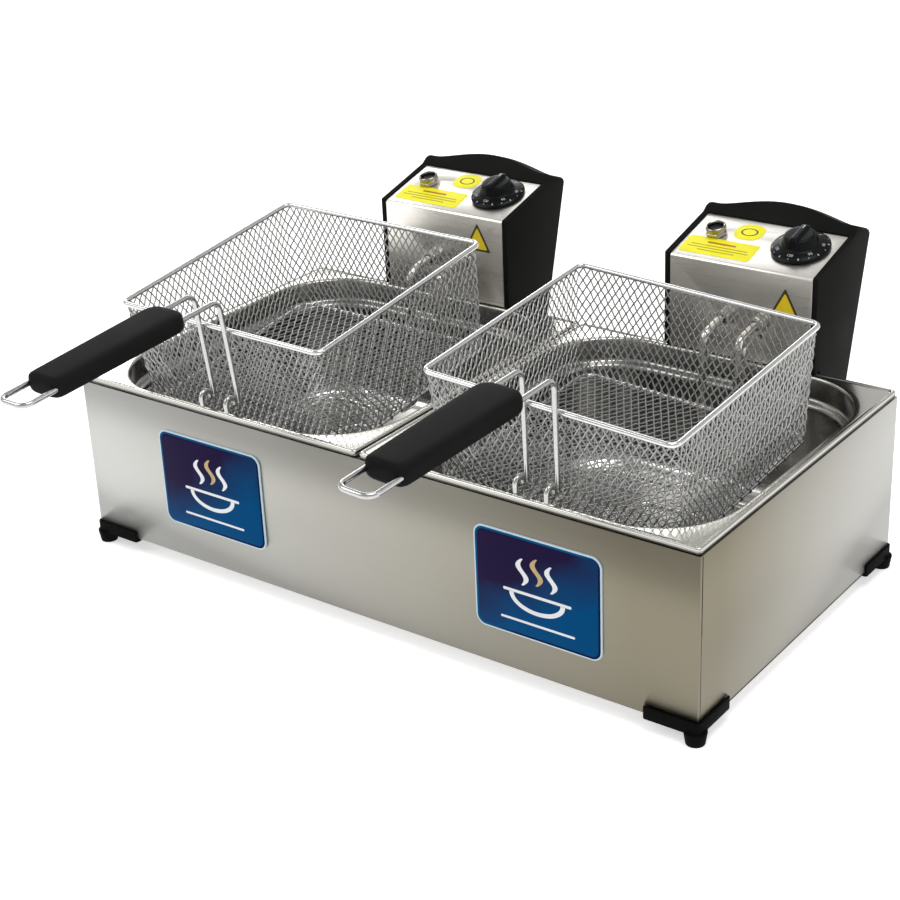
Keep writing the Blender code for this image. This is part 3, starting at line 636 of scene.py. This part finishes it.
def wrap_base(made, count, rows):
    """Small loops of mesh wire that hold the bottom wire."""
    wrap = BASE_WIRE_R + MESH_WIRE_R * 0.9
    ring = basket_walk(BASKET_TAPER + BASE_INSET, BASE_CORNER_R)
    for k in range(0, count, 2):
        point, out = ring((k + rows / 2) / count)
        centre = Vector((point.x, point.y + BASKET_MIDDLE, BASE_Z))
        outward = Vector((out.x, out.y, 0))
        loop = [centre + outward * (wrap * cos(a)) + Vector((0, 0, wrap * sin(a)))
                for a in (2 * pi * m / 8 for m in range(8))]
        made.tube(loop, MESH_WIRE_R, MESH_SIDES, True)


def weave_floor(made):
    """Two crossing sets of slanted wires, cut off at the floor's rounded outline."""
    fx, fy = (size / 2 - BASKET_TAPER - FLOOR_INSET for size in (BASKET_W, BASKET_D))
    floor_z = WALL_FOOT - FLOOR_INSET + MESH_WIRE_R
    rows = int(round(2 * fy / (MESH_TALL / 2)))
    step_y = 2 * fy / rows
    reach = int(ceil((fx + fy * MESH_WIDE / MESH_TALL) / MESH_WIDE)) + rows // 2 + 2
    for turn in (1, -1):
        for k in range(-reach, reach + 1):
            run = []
            for i in range(rows * FLOOR_STEPS + 1):
                j = i / FLOOR_STEPS
                x = (k + turn * (j - rows / 2) / 2) * MESH_WIDE
                y = -fy + j * step_y
                if inside_ring(x, y, fx + SAME_POINT, fy + SAME_POINT, 0.0110):
                    run.append((i, x, y))
            if len(run) < FLOOR_STEPS:
                continue
            path = []
            for n, (i, x, y) in enumerate(run):
                crossing = i % FLOOR_STEPS == 0
                if crossing or n in (0, len(run) - 1):
                    lift = turn * (1 if (i // FLOOR_STEPS) % 2 else -1) * WEAVE
                    path.append(Vector((x, y + BASKET_MIDDLE,
                                        floor_z + (lift if crossing else 0.0))))
            made.tube(path, MESH_WIRE_R, MESH_SIDES)


def build_basket_mesh(side, hook):
    """Woven diamond mesh of walls and floor."""
    made = Build()
    count = int(round((4 * (BASKET_W / 2) + 4 * (BASKET_D / 2) - CORNER_SAVING) / MESH_WIDE))
    rows = int(round((WALL_TOP - WALL_FOOT) / (MESH_TALL / 2)))
    weave_walls(made, count, rows)
    wrap_base(made, count, rows)
    weave_floor(made)
    piece(f"mesh_{side}", made, f"basket_{side}", MESH_CHROME,
          [f"basket_mesh_{side}"], 60, hook)


CURL_Y = 0.0092  # the hook's curl behind the flange's edge
CURL_Z = (0.0024, 0.0108)
LEG_GAP = 0.0003
HANDLE_BENDS = [0.0045, 0.0045, 0.0020, 0.0020, 0.0080, 0.0070]  # from hook to end loop


def build_basket_wires(side, hook):
    """Rim wire, bottom wire, and the handle wire from its hooks to its end loop."""
    inset = BASKET_TAPER + BASE_INSET
    for name, inwards, r, z, wire in (
            ("top", 0.0, RIM_CORNER_R, HOOK_TO_RIM, RIM_WIRE_R),
            ("bottom", inset, BASE_CORNER_R, BASE_Z, BASE_WIRE_R)):
        flat = rounded_ring(BASKET_W / 2 - inwards, BASKET_D / 2 - inwards, r, 7,
                            (0, BASKET_MIDDLE))
        made = Build()
        made.tube(lifted(flat, z), wire, WIRE_SIDES, True)
        piece(f"{name}_wire_{side}", made, f"basket_{side}", CHROME,
              [f"basket_{name}_wire_{side}"], 60, hook)
    leg_y = HOOK_TO_FRONT - RIM_WIRE_R - HANDLE_WIRE_R - LEG_GAP
    low, top = CURL_Z
    half = [(LEG_X, 0, 0.0019), (LEG_X, 0, top), (LEG_X, CURL_Y, top), (LEG_X, CURL_Y, low),
            (LEG_X, leg_y, low), (LEG_X, leg_y, arm_height(leg_y)),
            (LEG_X, LOOP_Y, arm_height(LOOP_Y))]
    corners = half + [(-x, y, z) for x, y, z in reversed(half)]
    made = Build()
    made.tube(rounded_path(corners, HANDLE_BENDS + HANDLE_BENDS[::-1], 9), HANDLE_WIRE_R,
              WIRE_SIDES, domed=0.9)
    piece(f"handle_wire_{side}", made, f"basket_{side}", HANDLE_CHROME,
          [f"basket_handle_wire_{side}"], 60, hook)


def arm_height(y):
    return ARM_TOP + (HOOK_TO_FRONT - y) * tan(ARM_RISE)


GRIP_HALF_T = 0.0075
GRIP_HALF_W = (0.0165, 0.0025)  # at the loop's end, and how much it gains at the basket's end
GRIP_ENDS = ((0.0075, 0.0042), (0.0125, 0.0050))  # plan radius and crown of each end
GRIP_POWER = (0.44, 0.62)  # how square the section is across and up
GRIP_LEAST = (0.004, 0.002)


def build_grip(side, hook):
    """A flat moulded grip with full round edges, wider at the basket's end."""
    front, back = GRIP_Y
    middle = (back + front) / 2
    seat = Matrix.Translation((0, middle, arm_height(middle))) @ Matrix.Rotation(-ARM_RISE, 4, 'X')
    half = (back - front) / cos(ARM_RISE) / 2
    count, around = 30, 36
    rings = []
    for i in range(count + 1):
        s = 0.5 - 0.5 * cos(pi * i / count)
        v = -half + 2 * half * s
        narrow_w = narrow_t = 0.0
        for (plan, crown), gap in zip(GRIP_ENDS, (v + half, half - v)):
            if gap < plan:
                narrow_w += plan - (plan ** 2 - (plan - gap) ** 2) ** 0.5
            if gap < crown:
                narrow_t += (crown - (crown ** 2 - (crown - gap) ** 2) ** 0.5) * 0.9
        w = max(GRIP_HALF_W[0] + GRIP_HALF_W[1] * s - narrow_w, GRIP_LEAST[0])
        t = max(GRIP_HALF_T - narrow_t, GRIP_LEAST[1])
        ring = []
        for a in (2 * pi * k / around for k in range(around)):
            ring.append(Vector((w * bulged(cos(a), GRIP_POWER[0]), v,
                                t * bulged(sin(a), GRIP_POWER[1]))))
        rings.append(ring)
    made = Build()
    made.rings(rings)
    piece(f"grip_{side}", made, f"basket_{side}", GRIP_BLACK,
          [f"basket_grip_{side}"], 55, hook @ seat)


def build_basket(side):
    """One basket in the frame of its hooks, tilted as it hangs in the photograph."""
    across, pitch, roll, yaw = BASKETS[side]
    rest = FLANGE_TOP + HANG_GAP + LEG_X * abs(sin(roll)) + HANG_GAP
    hook = (Matrix.Translation((across, HOOK_Y, rest)) @ Matrix.Rotation(yaw, 4, 'Z')
            @ Matrix.Rotation(pitch, 4, 'X') @ Matrix.Rotation(roll, 4, 'Y'))
    build_basket_mesh(side, hook)
    build_basket_wires(side, hook)
    build_grip(side, hook)


# ---- control heads ----
HEAD_NODES = (  # CAD node, material, and where given: edge width, its segments, its angle
    ("head_cover", STEEL_HEAD, 0.0005, 3),
    ("head_back_shell", SHELL_BLACK, 0.0013, 3, 25),
    ("head_base_plate", STEEL_INSIDE),
    ("head_hook_bracket", STEEL_INSIDE),
    ("thermostat_body", CERAMIC, 0.0005),
    ("limit_thermostat", CERAMIC, 0.0005),
    ("terminal_block", CERAMIC, 0.0005),
    ("cable_gland", SHELL_BLACK, 0.0004, 2, 40),
    ("bulb_clip", STEEL_PART, 0.0004),
    ("thermostat_shaft", STEEL_PART),
    ("heater_nut_a", STEEL_PART, 0.0007, 2, 40),
    ("heater_nut_b", STEEL_PART, 0.0007, 2, 40),
)


def turned(made, profile, sides=64, looped=False, hexagons=0):
    """Rings of a piece turned about local z, from (radius, height) points.

    A looped profile is a ring with an open bore. Its first rings can be hexagons.
    """
    rings = []
    for i, (r, z) in enumerate(profile):
        ring = []
        for way in (2 * pi * k / sides for k in range(sides)):
            reach = r
            if i < hexagons:
                reach *= cos(pi / 6) / cos(way % (pi / 3) - pi / 6)
            ring.append(Vector((reach * cos(way), reach * sin(way), z)))
        rings.append(ring)
    made.rings(rings, looped=looped)


DIAL_PROFILE = (
    (0.0220, 0.0006), (0.0226, 0.0010), (0.0228, 0.0016), (0.0227, 0.0024), (0.0221, 0.0030),
    (0.0200, 0.0042), (0.0165, 0.0050), (0.0148, 0.0054), (0.0139, 0.0062), (0.0134, 0.0078),
    (0.0125, 0.0110), (0.0119, 0.0122), (0.0109, 0.0129), (0.0094, 0.0130))
RIDGE_HALF = (0.0034, 0.0124)
RIDGE_STEPS = ((0.0050, 0.0), (0.0128, 0.0), (0.0140, -0.0003), (0.0148, -0.0010),
               (0.0150, -0.0020))  # height, and how much it grows there
SKIRT_FALL = atan2(0.0042 - 0.0030, 0.0221 - 0.0200)  # slope of the skirt under the marks
SCALE_SWEEP = 300  # degrees
SCALE_MARKS = 15
SCALE_FIGURES = ("0", "60", "90", "120", "150", "170", "190")
FIGURE_SIZE = 0.0035


def scale_turn(k, count):
    """Turn about the dial's axis to the k-th of count places on its scale."""
    angle = radians(-SCALE_SWEEP / 2 + SCALE_SWEEP * k / (count - 1))
    return Matrix.Rotation(pi - angle, 4, 'Z')


def build_dial(side, panel):
    """Dial with a bevelled skirt, a finger ridge and a printed scale."""
    seat = panel @ Matrix.Translation((DIAL_X, 0, 0))
    made = Build()
    turned(made, DIAL_PROFILE)
    made.rings([lifted(rounded_ring(RIDGE_HALF[0] + grow, RIDGE_HALF[1] + grow * 2, 0.0013, 4), z)
                for z, grow in RIDGE_STEPS])
    piece(f"dial_{side}", made, f"dial_{side}", DIAL_BLACK,
          [f"thermostat_knob_{side}"], 32, seat)
    marks = Build()
    tilt = Matrix.Translation((0, 0.02105, 0.00365)) @ Matrix.Rotation(-SKIRT_FALL, 4, 'X')
    for k in range(SCALE_MARKS):
        half_wide, length = ((0.00025, 0.0009), (0.0004, 0.0016))[k % 2 == 0]
        marks.block((-half_wide, -length / 2, -0.0001), (half_wide, length / 2, 0.00012),
                    scale_turn(k, SCALE_MARKS) @ tilt)
    pointer = Matrix.Translation((0, 0.0090, 0.0150))
    marks.block((-0.0005, -0.0035, -0.0005), (0.0005, 0.0008, 0.00006), pointer)
    piece(f"dial_marks_{side}", marks, f"dial_{side}", DIAL_MARK, (), 30, seat)
    build_dial_numbers(side, seat)


def build_dial_numbers(side, seat):
    """Plain generic figures round the skirt."""
    bm = bmesh.new()
    tilt = Matrix.Translation((0, 0.0178, 0.00475)) @ Matrix.Rotation(-0.27, 4, 'X')
    for k, figure in enumerate(SCALE_FIGURES):
        curve = bpy.data.curves.new(f"figure_{k}_{side}", 'FONT')
        curve.body = figure
        curve.size = FIGURE_SIZE
        curve.align_x = curve.align_y = 'CENTER'
        curve.extrude = 0.00006
        curve.resolution_u = 3
        holder = add_object(curve.name, curve)
        bpy.context.view_layer.update()
        mesh = bpy.data.meshes.new_from_object(
            holder.evaluated_get(bpy.context.evaluated_depsgraph_get()))
        bpy.data.objects.remove(holder)
        mesh.transform(scale_turn(k, len(SCALE_FIGURES)) @ tilt @ Matrix.Rotation(pi, 4, 'Z'))
        bm.from_mesh(mesh)
        bpy.data.meshes.remove(mesh)
    bmesh.ops.remove_doubles(bm, verts=bm.verts, dist=SAME_POINT)
    joined = bpy.data.meshes.new(f"dial_numbers_{side}")
    bm.to_mesh(joined)
    bm.free()
    joined.transform(PLACE @ seat)
    joined.materials.append(DIAL_MARK)
    item = add_object(joined.name, joined)
    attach(item, f"dial_{side}")


NUT_PROFILE = ((0.0082, 0.0003), (0.0088, 0.0008), (0.0088, 0.0030), (0.0080, 0.0038),
               (0.0057, 0.0038), (0.0057, 0.0003))
COLLAR_PROFILE = ((0.0076, 0.0034), (0.0080, 0.0062), (0.0079, 0.0070), (0.0074, 0.0076),
                  (0.0069, 0.0078), (0.0064, 0.0075), (0.0061, 0.0068), (0.0060, 0.0034))
CAP_PROFILE = ((0.0046, 0.0020), (0.0048, 0.0046), (0.0046, 0.0056), (0.0040, 0.0060),
               (0.0028, 0.0058), (0.0016, 0.0056))


def build_reset(side, panel):
    """A hexagon nut and a round collar, both bored through, with the button in the bore."""
    seat = panel @ Matrix.Translation((RESET_X, 0, 0))
    made, cap = Build(), Build()
    turned(made, NUT_PROFILE, 48, True, 4)
    turned(made, COLLAR_PROFILE, 48, True)
    piece(f"bezel_{side}", made, f"head_{side}", BEZEL,
          [f"reset_bezel_{side}"], 35, seat)
    turned(cap, CAP_PROFILE, 40)
    piece(f"reset_cap_{side}", cap, f"reset_{side}", DIAL_BLACK,
          [f"reset_button_{side}"], 35, seat)


FOIL = 0.00018  # thickness of a sticker
BLOCK_Y = (0.1462, 0.1680)
OVAL_HALF = (0.0120, 0.0108)
RING_HALF = (0.0070, 0.0052)
TRIANGLE_TOP = 0.0160  # from the triangle's middle
TRIANGLE_FOOT = (0.0130, -0.0080)
TRIANGLE_BLUNT = 0.0011  # how much of each corner is cut off


def sticker(name, outline, low, high, body, look, slot, seat, replaces=(), edge=0.0):
    """A piece that is one flat plate."""
    made = Build()
    made.plate(outline, low, high, edge)
    piece(name, made, body, look, replaces, 30, seat)


def oval(half, power, count, centre):
    """Points round an oval, whose sides get flatter as the power falls below 1."""
    return [centre + Vector((half[0] * bulged(cos(a), power), half[1] * bulged(sin(a), power)))
            for a in (2 * pi * (k / count) for k in range(count))]


def build_labels(side, panel, head):
    """Plain printed foils: an oval, a block with bars and a triangle, without any wording."""
    block_x, block_half, oval_x, oval_y, triangle_x, triangle_top = LABELS[side]
    body, slot = f"head_{side}", "head_steel"
    low, high, oval_at = ((y - PANEL_Y) / cos(SLOPE) for y in (*BLOCK_Y, oval_y))
    middle = (low + high) / 2
    centre = Vector((oval_x, oval_at))
    foil, red, bars = Build(), Build(), Build()
    foil.plate(oval(OVAL_HALF, 0.8, 48, centre), 0.00002, FOIL, 0.00006)
    foil.plate(rounded_ring(block_half, (high - low) / 2, 0.0025, 5, (block_x, middle)),
               0.00002, FOIL, 0.00006)
    piece(f"label_foil_{side}", foil, body, LABEL_YELLOW, (), 30, panel)
    over, under = FOIL + 0.00004, FOIL - 0.00002  # print on the foil
    red.block((block_x - 0.0120, middle + 0.0040, under),
              (block_x + 0.0120, middle + 0.0062, over))
    piece(f"label_bar_{side}", red, body, LABEL_RED, (), 30, panel)
    for k, share in enumerate((0.80, 0.86, 0.52)):
        y = middle + 0.0006 - 0.0033 * k
        bars.block((block_x - block_half * share, y - 0.0005, under),
                   (block_x + block_half * share, y + 0.0005, over))
    piece(f"label_bars_{side}", bars, body, LABEL_OLIVE, (), 30, panel)
    for name, size, under, over, look in (("print", 1.0, under, FOIL + 0.00003, LABEL_DARK),
                                          ("ring", 0.80, FOIL, FOIL + 0.00005, LABEL_YELLOW)):
        half = (RING_HALF[0] * size, RING_HALF[1] * size)
        sticker(f"label_{name}_{side}", oval(half, 1.0, 32, centre), under, over, body, look, slot,
                panel)
    wall = head @ Matrix(((1, 0, 0, triangle_x), (0, 0, -1, HEAD_FRONT),
                          (0, 1, 0, triangle_top - TRIANGLE_TOP), (0, 0, 0, 1)))
    foot_x, foot_y = TRIANGLE_FOOT
    for name, size, under, over, look in (("edge", 1.0, 0.00002, FOIL, LABEL_DARK),
                                          ("face", 0.76, 0.0001, FOIL + 0.00005, LABEL_AMBER)):
        corners = [Vector(c) * size for c in ((0, TRIANGLE_TOP), (-foot_x, foot_y),
                                              (foot_x, foot_y))]
        smooth = []
        for i, corner in enumerate(corners):
            for other in (corners[i - 1], corners[(i + 1) % 3]):
                smooth.append(corner + (other - corner).normalized() * TRIANGLE_BLUNT)
        sticker(f"label_triangle_{name}_{side}", smooth, under, over, body, look, slot, wall)


HEATER_BACK = 0.0760  # y where the loop leaves the legs
HEATER_FRONT = -0.1000
HEATER_REACH = (0.0850, 0.0300)  # x of the loop's outer and inner runs
HEATER_RETURN = 0.0420
HEATER_BENDS = [0.010, 0.008, 0.010, 0.012, 0.014, 0.014, 0.014, 0.014]
CAPILLARY_R = 0.0011
BULB_R = 0.0031
BULB = ((0.0996, 1.7 * CAPILLARY_R), (0.0988, 0.85 * BULB_R), (0.0975, BULB_R),
        (0.0580, BULB_R), (0.0565, 0.8 * BULB_R), (0.0552, 1.5 * CAPILLARY_R),
        (0.0545, 0.6 * CAPILLARY_R))  # height and radius, going down


def build_heater(side, head):
    """The tubular heater with its two legs, and the thermostat's bulb beside one leg."""
    leg, z = HEATER_LEG, HEATER_LOOP_Z
    far, near = HEATER_REACH
    half = [(leg, 0.1560, HEATER_EXIT_Z), (leg, 0.1270, HEATER_EXIT_Z),
            (leg, HEATER_LEG_Y, HEATER_EXIT_Z - 0.0040), (leg, HEATER_LEG_Y, z),
            (leg, HEATER_BACK, z), (far, HEATER_BACK, z), (far, HEATER_FRONT, z),
            (near, HEATER_FRONT, z), (near, HEATER_RETURN, z)]
    corners = [(HEATER_X - x, y, z) for x, y, z in half]
    corners += [(HEATER_X + x, y, z) for x, y, z in reversed(half)]
    made = Build()
    made.tube(rounded_path(corners, HEATER_BENDS + HEATER_BENDS[::-1], 8), HEATER_R, 16)
    piece(f"heater_{side}", made, f"head_{side}", HEATER,
          [f"heater_element_{side}"], 60, head)
    x = HEATER_X + HEATER_LEG
    line = rounded_path([(x, 0.1500, CAPILLARY_Z), (x, CAPILLARY_Y, CAPILLARY_Z),
                         (x, CAPILLARY_Y, 0.1010)], [0.007], 8)
    shape = [1] * len(line) + [radius / CAPILLARY_R for _, radius in BULB]
    line += [Vector((x, CAPILLARY_Y, height)) for height, _ in BULB]
    made = Build()
    made.tube(line, CAPILLARY_R, WIRE_SIDES, scales=shape)
    piece(f"bulb_{side}", made, f"head_{side}", HEATER,
          [f"thermostat_bulb_{side}"], 60, head)


def build_head(side, sign):
    """One control head and what it carries; the panel's frame has z out of the panel."""
    head = Matrix.Translation((sign * PAN_CENTRE + HEAD_OFFSET[side], 0, 0))
    height = PANEL_FRONT_Z + (PANEL_Y - HEAD_FRONT) * tan(SLOPE)
    panel = head @ Matrix.Translation((0, PANEL_Y, height)) @ Matrix.Rotation(SLOPE, 4, 'X')
    for name, *finish in HEAD_NODES:
        finish_node(f"{name}_{side}", *finish)
    build_dial(side, panel)
    build_reset(side, panel)
    build_labels(side, panel, head)
    build_heater(side, head)


# ---- badges ----
EMBLEM_Z = (0.0013, 0.00145)
EMBLEM_SIZE = 1.22


def build_badge(side, sign):
    """Rounded plate with a pale border, a shaded blue field and a plain steam emblem."""
    middle = sign * BADGE_X + BADGE_OFFSET
    seat = Matrix(((1, 0, 0, middle), (0, 0, -1, HOUSING_FRONT - BADGE_GAP), (0, 1, 0, BADGE_Z),
                   (0, 0, 0, 1)))
    for name, inset, corner, low, high, edge, look, replaced in (
            ("rim", 0.0, 0.0080, 0.0, 0.0012, 0.0004, BADGE_RIM, [f"badge_{side}"]),
            ("edge", 0.0012, 0.0069, 0.0008, 0.00128, 0.0001,
             badge_edge_material(side, ORIGIN.x + middle), ()),
            ("face", 0.0028, 0.0056, 0.0008, 0.00135, 0.0001,
             badge_material(side, ORIGIN.x + middle), ())):
        outline = rounded_ring(BADGE_SIZE[0] / 2 - inset, BADGE_SIZE[1] / 2 - inset, corner, 8)
        sticker(f"badge_{name}_{side}", outline, low, high, "housing", look, "badge_blue", seat,
                replaced, edge)
    white, gold = Build(), Build()
    for made, x, lift in ((white, -0.0095, 0.0), (gold, 0.0, 0.0020), (white, 0.0095, 0.0)):
        left, right = [], []
        for j in range(25):
            s = j / 24
            y = 0.0015 + 0.0165 * s + lift
            bend = 0.0026 * sin(2 * pi * s)
            wide = 0.0017 * sin(pi * (0.08 + 0.84 * s)) + 0.0003
            left.append(Vector((x + bend - wide, y)) * EMBLEM_SIZE)
            right.append(Vector((x + bend + wide, y)) * EMBLEM_SIZE)
        ribbon(made, left, right, *EMBLEM_Z)
    bowl = []
    for reach, deep in ((0.0185, 0.0108), (0.0155, 0.0082)):
        bowl.append([Vector((reach * cos(pi + pi * j / 20), deep * sin(pi + pi * j / 20) - 0.0045))
                     * EMBLEM_SIZE for j in range(21)])
    ribbon(white, *bowl, *EMBLEM_Z)
    white.plate(rounded_ring(0.0275, 0.0011, 0.0010, 3, (0, -0.0042)), *EMBLEM_Z)
    piece(f"badge_emblem_{side}", white, "housing", BADGE_WHITE, (), 30, seat)
    piece(f"badge_gold_{side}", gold, "housing", BADGE_GOLD, (), 30, seat)
    sticker(f"badge_line_{side}", rounded_ring(0.0300, 0.0009, 0.0008, 3, (0, -0.0265)),
            *EMBLEM_Z, "housing", BADGE_WHITE, "badge_blue", seat)


def ribbon(made, left, right, low, high):
    """A flat band between two edge lines, made thick in z."""
    made.rings([lifted((a, b), low) + lifted((b, a), high) for a, b in zip(left, right)])


def badge_edge_material(side, middle):
    """The field's edge: mid blue at the upper left, dark navy at the lower right."""
    shade = Shade(f"badge_edge_{side}", (0.0, 0.075, 0.205), 0.35, Specular_IOR_Level=0.02)
    base = shade.vary(shade.noise(160, 2.0, 0.5), 0.03)
    way = middle - ORIGIN.z - BADGE_Z
    share = shade.ranged(shade.along((1, 0, -1)), 0.0, 1.0, way - 0.004, way + 0.020)
    shade.link(shade.mixed(share, base, (0.004, 0.008, 0.045)), shade.bsdf.inputs["Base Color"])
    return shade.material


def badge_material(side, middle):
    """The field: dark violet at the upper left, turning blue towards the lower right."""
    shade = Shade(f"badge_field_{side}", (0.02, 0.07, 0.22), 0.35, Specular_IOR_Level=0.02)
    level = ORIGIN.z + BADGE_Z
    across = shade.ranged(shade.along((1, 0, 0)), 0.0, 1.0, middle - 0.050, middle + 0.050)
    up = shade.ranged(shade.along(UPWARD), 1.0, 0.0, level - 0.038, level + 0.038)
    both = shade.add("ShaderNodeMath", operation='MULTIPLY_ADD')
    shade.link(across, both.inputs[0])
    both.inputs[1].default_value = 0.75
    shade.link(up, both.inputs[2])
    sway = shade.ranged(shade.noise(34, 2.0, 0.5), -0.10, 0.10)
    total = shade.add("ShaderNodeMath", operation='ADD')
    shade.link(both.outputs[0], total.inputs[0])
    shade.link(sway, total.inputs[1])
    blend = shade.ranged(total.outputs[0], 0.0, 1.0, 0.60, 1.15)
    field = shade.mixed(blend, (0.014, 0.008, 0.040), (0.0, 0.060, 0.180))
    shade.link(field, shade.bsdf.inputs["Base Color"])
    return shade.material


# ---- stage ----
FLOOR_HALF = 9
WORLD_FADE = ((-0.1, 0.9), (0.80, 0.40))  # height of the direction, strength
LIGHTS = (  # name, place, aim, size, watts, colour
    ("key_box", (-1.3, -1.1, 1.7), (0, 0, 0.1), (1.4, 1.2), 13, (1, 1, 1)),
    ("top_box", (0.5, -0.1, 1.9), (0, 0.05, 0.1), (1.0, 0.8), 12, (1, 1, 1)),
    ("back_box", (-0.72, 1.37, 1.67), (0.15, 0.17, 0.2), (0.62, 0.6), 1.3, (0.94, 0.97, 1)),
    ("low_box", (-1.5, 1.62, 1.12), (-0.05, -0.08, 0.05), (1.6, 0.46), 11.0, (1, 1, 1)),
    ("side_box", (1.7, 0.5, 1.0), (0, 0, 0.1), (0.8, 1.0), 2, (1, 0.98, 0.95)),
)
CAMERA_LENS = 74.56
CAMERA_TURN = (65.0, 2.35, 36.27)  # degrees
CAMERA_PLACE = (0.7709, -1.0464, 0.6829)  # from ORIGIN


def build_floor():
    """A plain pale floor that runs to the horizon and glows enough to print white."""
    mesh = bpy.data.meshes.new("floor")
    corners = [(-FLOOR_HALF, -FLOOR_HALF, 0), (FLOOR_HALF, -FLOOR_HALF, 0),
               (FLOOR_HALF, FLOOR_HALF, 0), (-FLOOR_HALF, FLOOR_HALF, 0)]
    mesh.from_pydata(corners, [], [(0, 1, 2, 3)])
    shade = Shade("floor_pale", (0.90, 0.90, 0.90), 0.85, Emission_Color=(1, 1, 1, 1),
                  Emission_Strength=0.50)
    shade.vary(shade.noise(3, 2.0, 0.5), 0.01)
    mesh.materials.append(shade.material)
    ground = add_object("floor", mesh)


def build_world():
    """White surroundings that get weaker from the horizon up."""
    world = bpy.data.worlds.new("studio")
    bpy.context.scene.world = world
    world.use_nodes = True
    tree = world.node_tree
    back = tree.nodes["Background"]
    coord = tree.nodes.new("ShaderNodeTexCoord")
    split = tree.nodes.new("ShaderNodeSeparateXYZ")
    ramp = tree.nodes.new("ShaderNodeMapRange")
    for kind, ends in zip(("From", "To"), WORLD_FADE):
        ramp.inputs[f"{kind} Min"].default_value, ramp.inputs[f"{kind} Max"].default_value = ends
    tree.links.new(coord.outputs["Generated"], split.inputs["Vector"])
    tree.links.new(split.outputs["Z"], ramp.inputs["Value"])
    tree.links.new(ramp.outputs["Result"], back.inputs["Strength"])
    back.inputs["Color"].default_value = (1.0, 1.0, 1.0, 1)


def build_lights():
    for name, place, aim, size, watts, colour in LIGHTS:
        data = bpy.data.lights.new(name, 'AREA')
        data.shape = 'RECTANGLE'
        data.size, data.size_y = size
        data.energy = watts
        data.color = colour
        lamp = add_object(name, data)
        lamp.location = place
        lamp.rotation_euler = (Vector(aim) - Vector(place)).to_track_quat('-Z', 'Y').to_euler()


def build_camera():
    """The photograph's camera, fitted to the housing's and the flanges' edges."""
    data = bpy.data.cameras.new("camera")
    data.lens = CAMERA_LENS
    data.sensor_width = 36
    data.clip_start = 0.05
    data.clip_end = 60
    camera = add_object("camera", data)
    camera.rotation_euler = [radians(turn) for turn in CAMERA_TURN]
    camera.location = Vector(CAMERA_PLACE) + ORIGIN
    scene = bpy.context.scene
    scene.camera = camera
    scene.view_settings.view_transform = 'Standard'
    scene.view_settings.look = 'None'


build_housing()
for SIDE, SIGN in SIDES:
    build_badge(SIDE, SIGN)
    build_tank(SIDE, SIGN)
    build_basket(SIDE)
    build_head(SIDE, SIGN)
build_floor()
build_world()
build_lights()
build_camera()
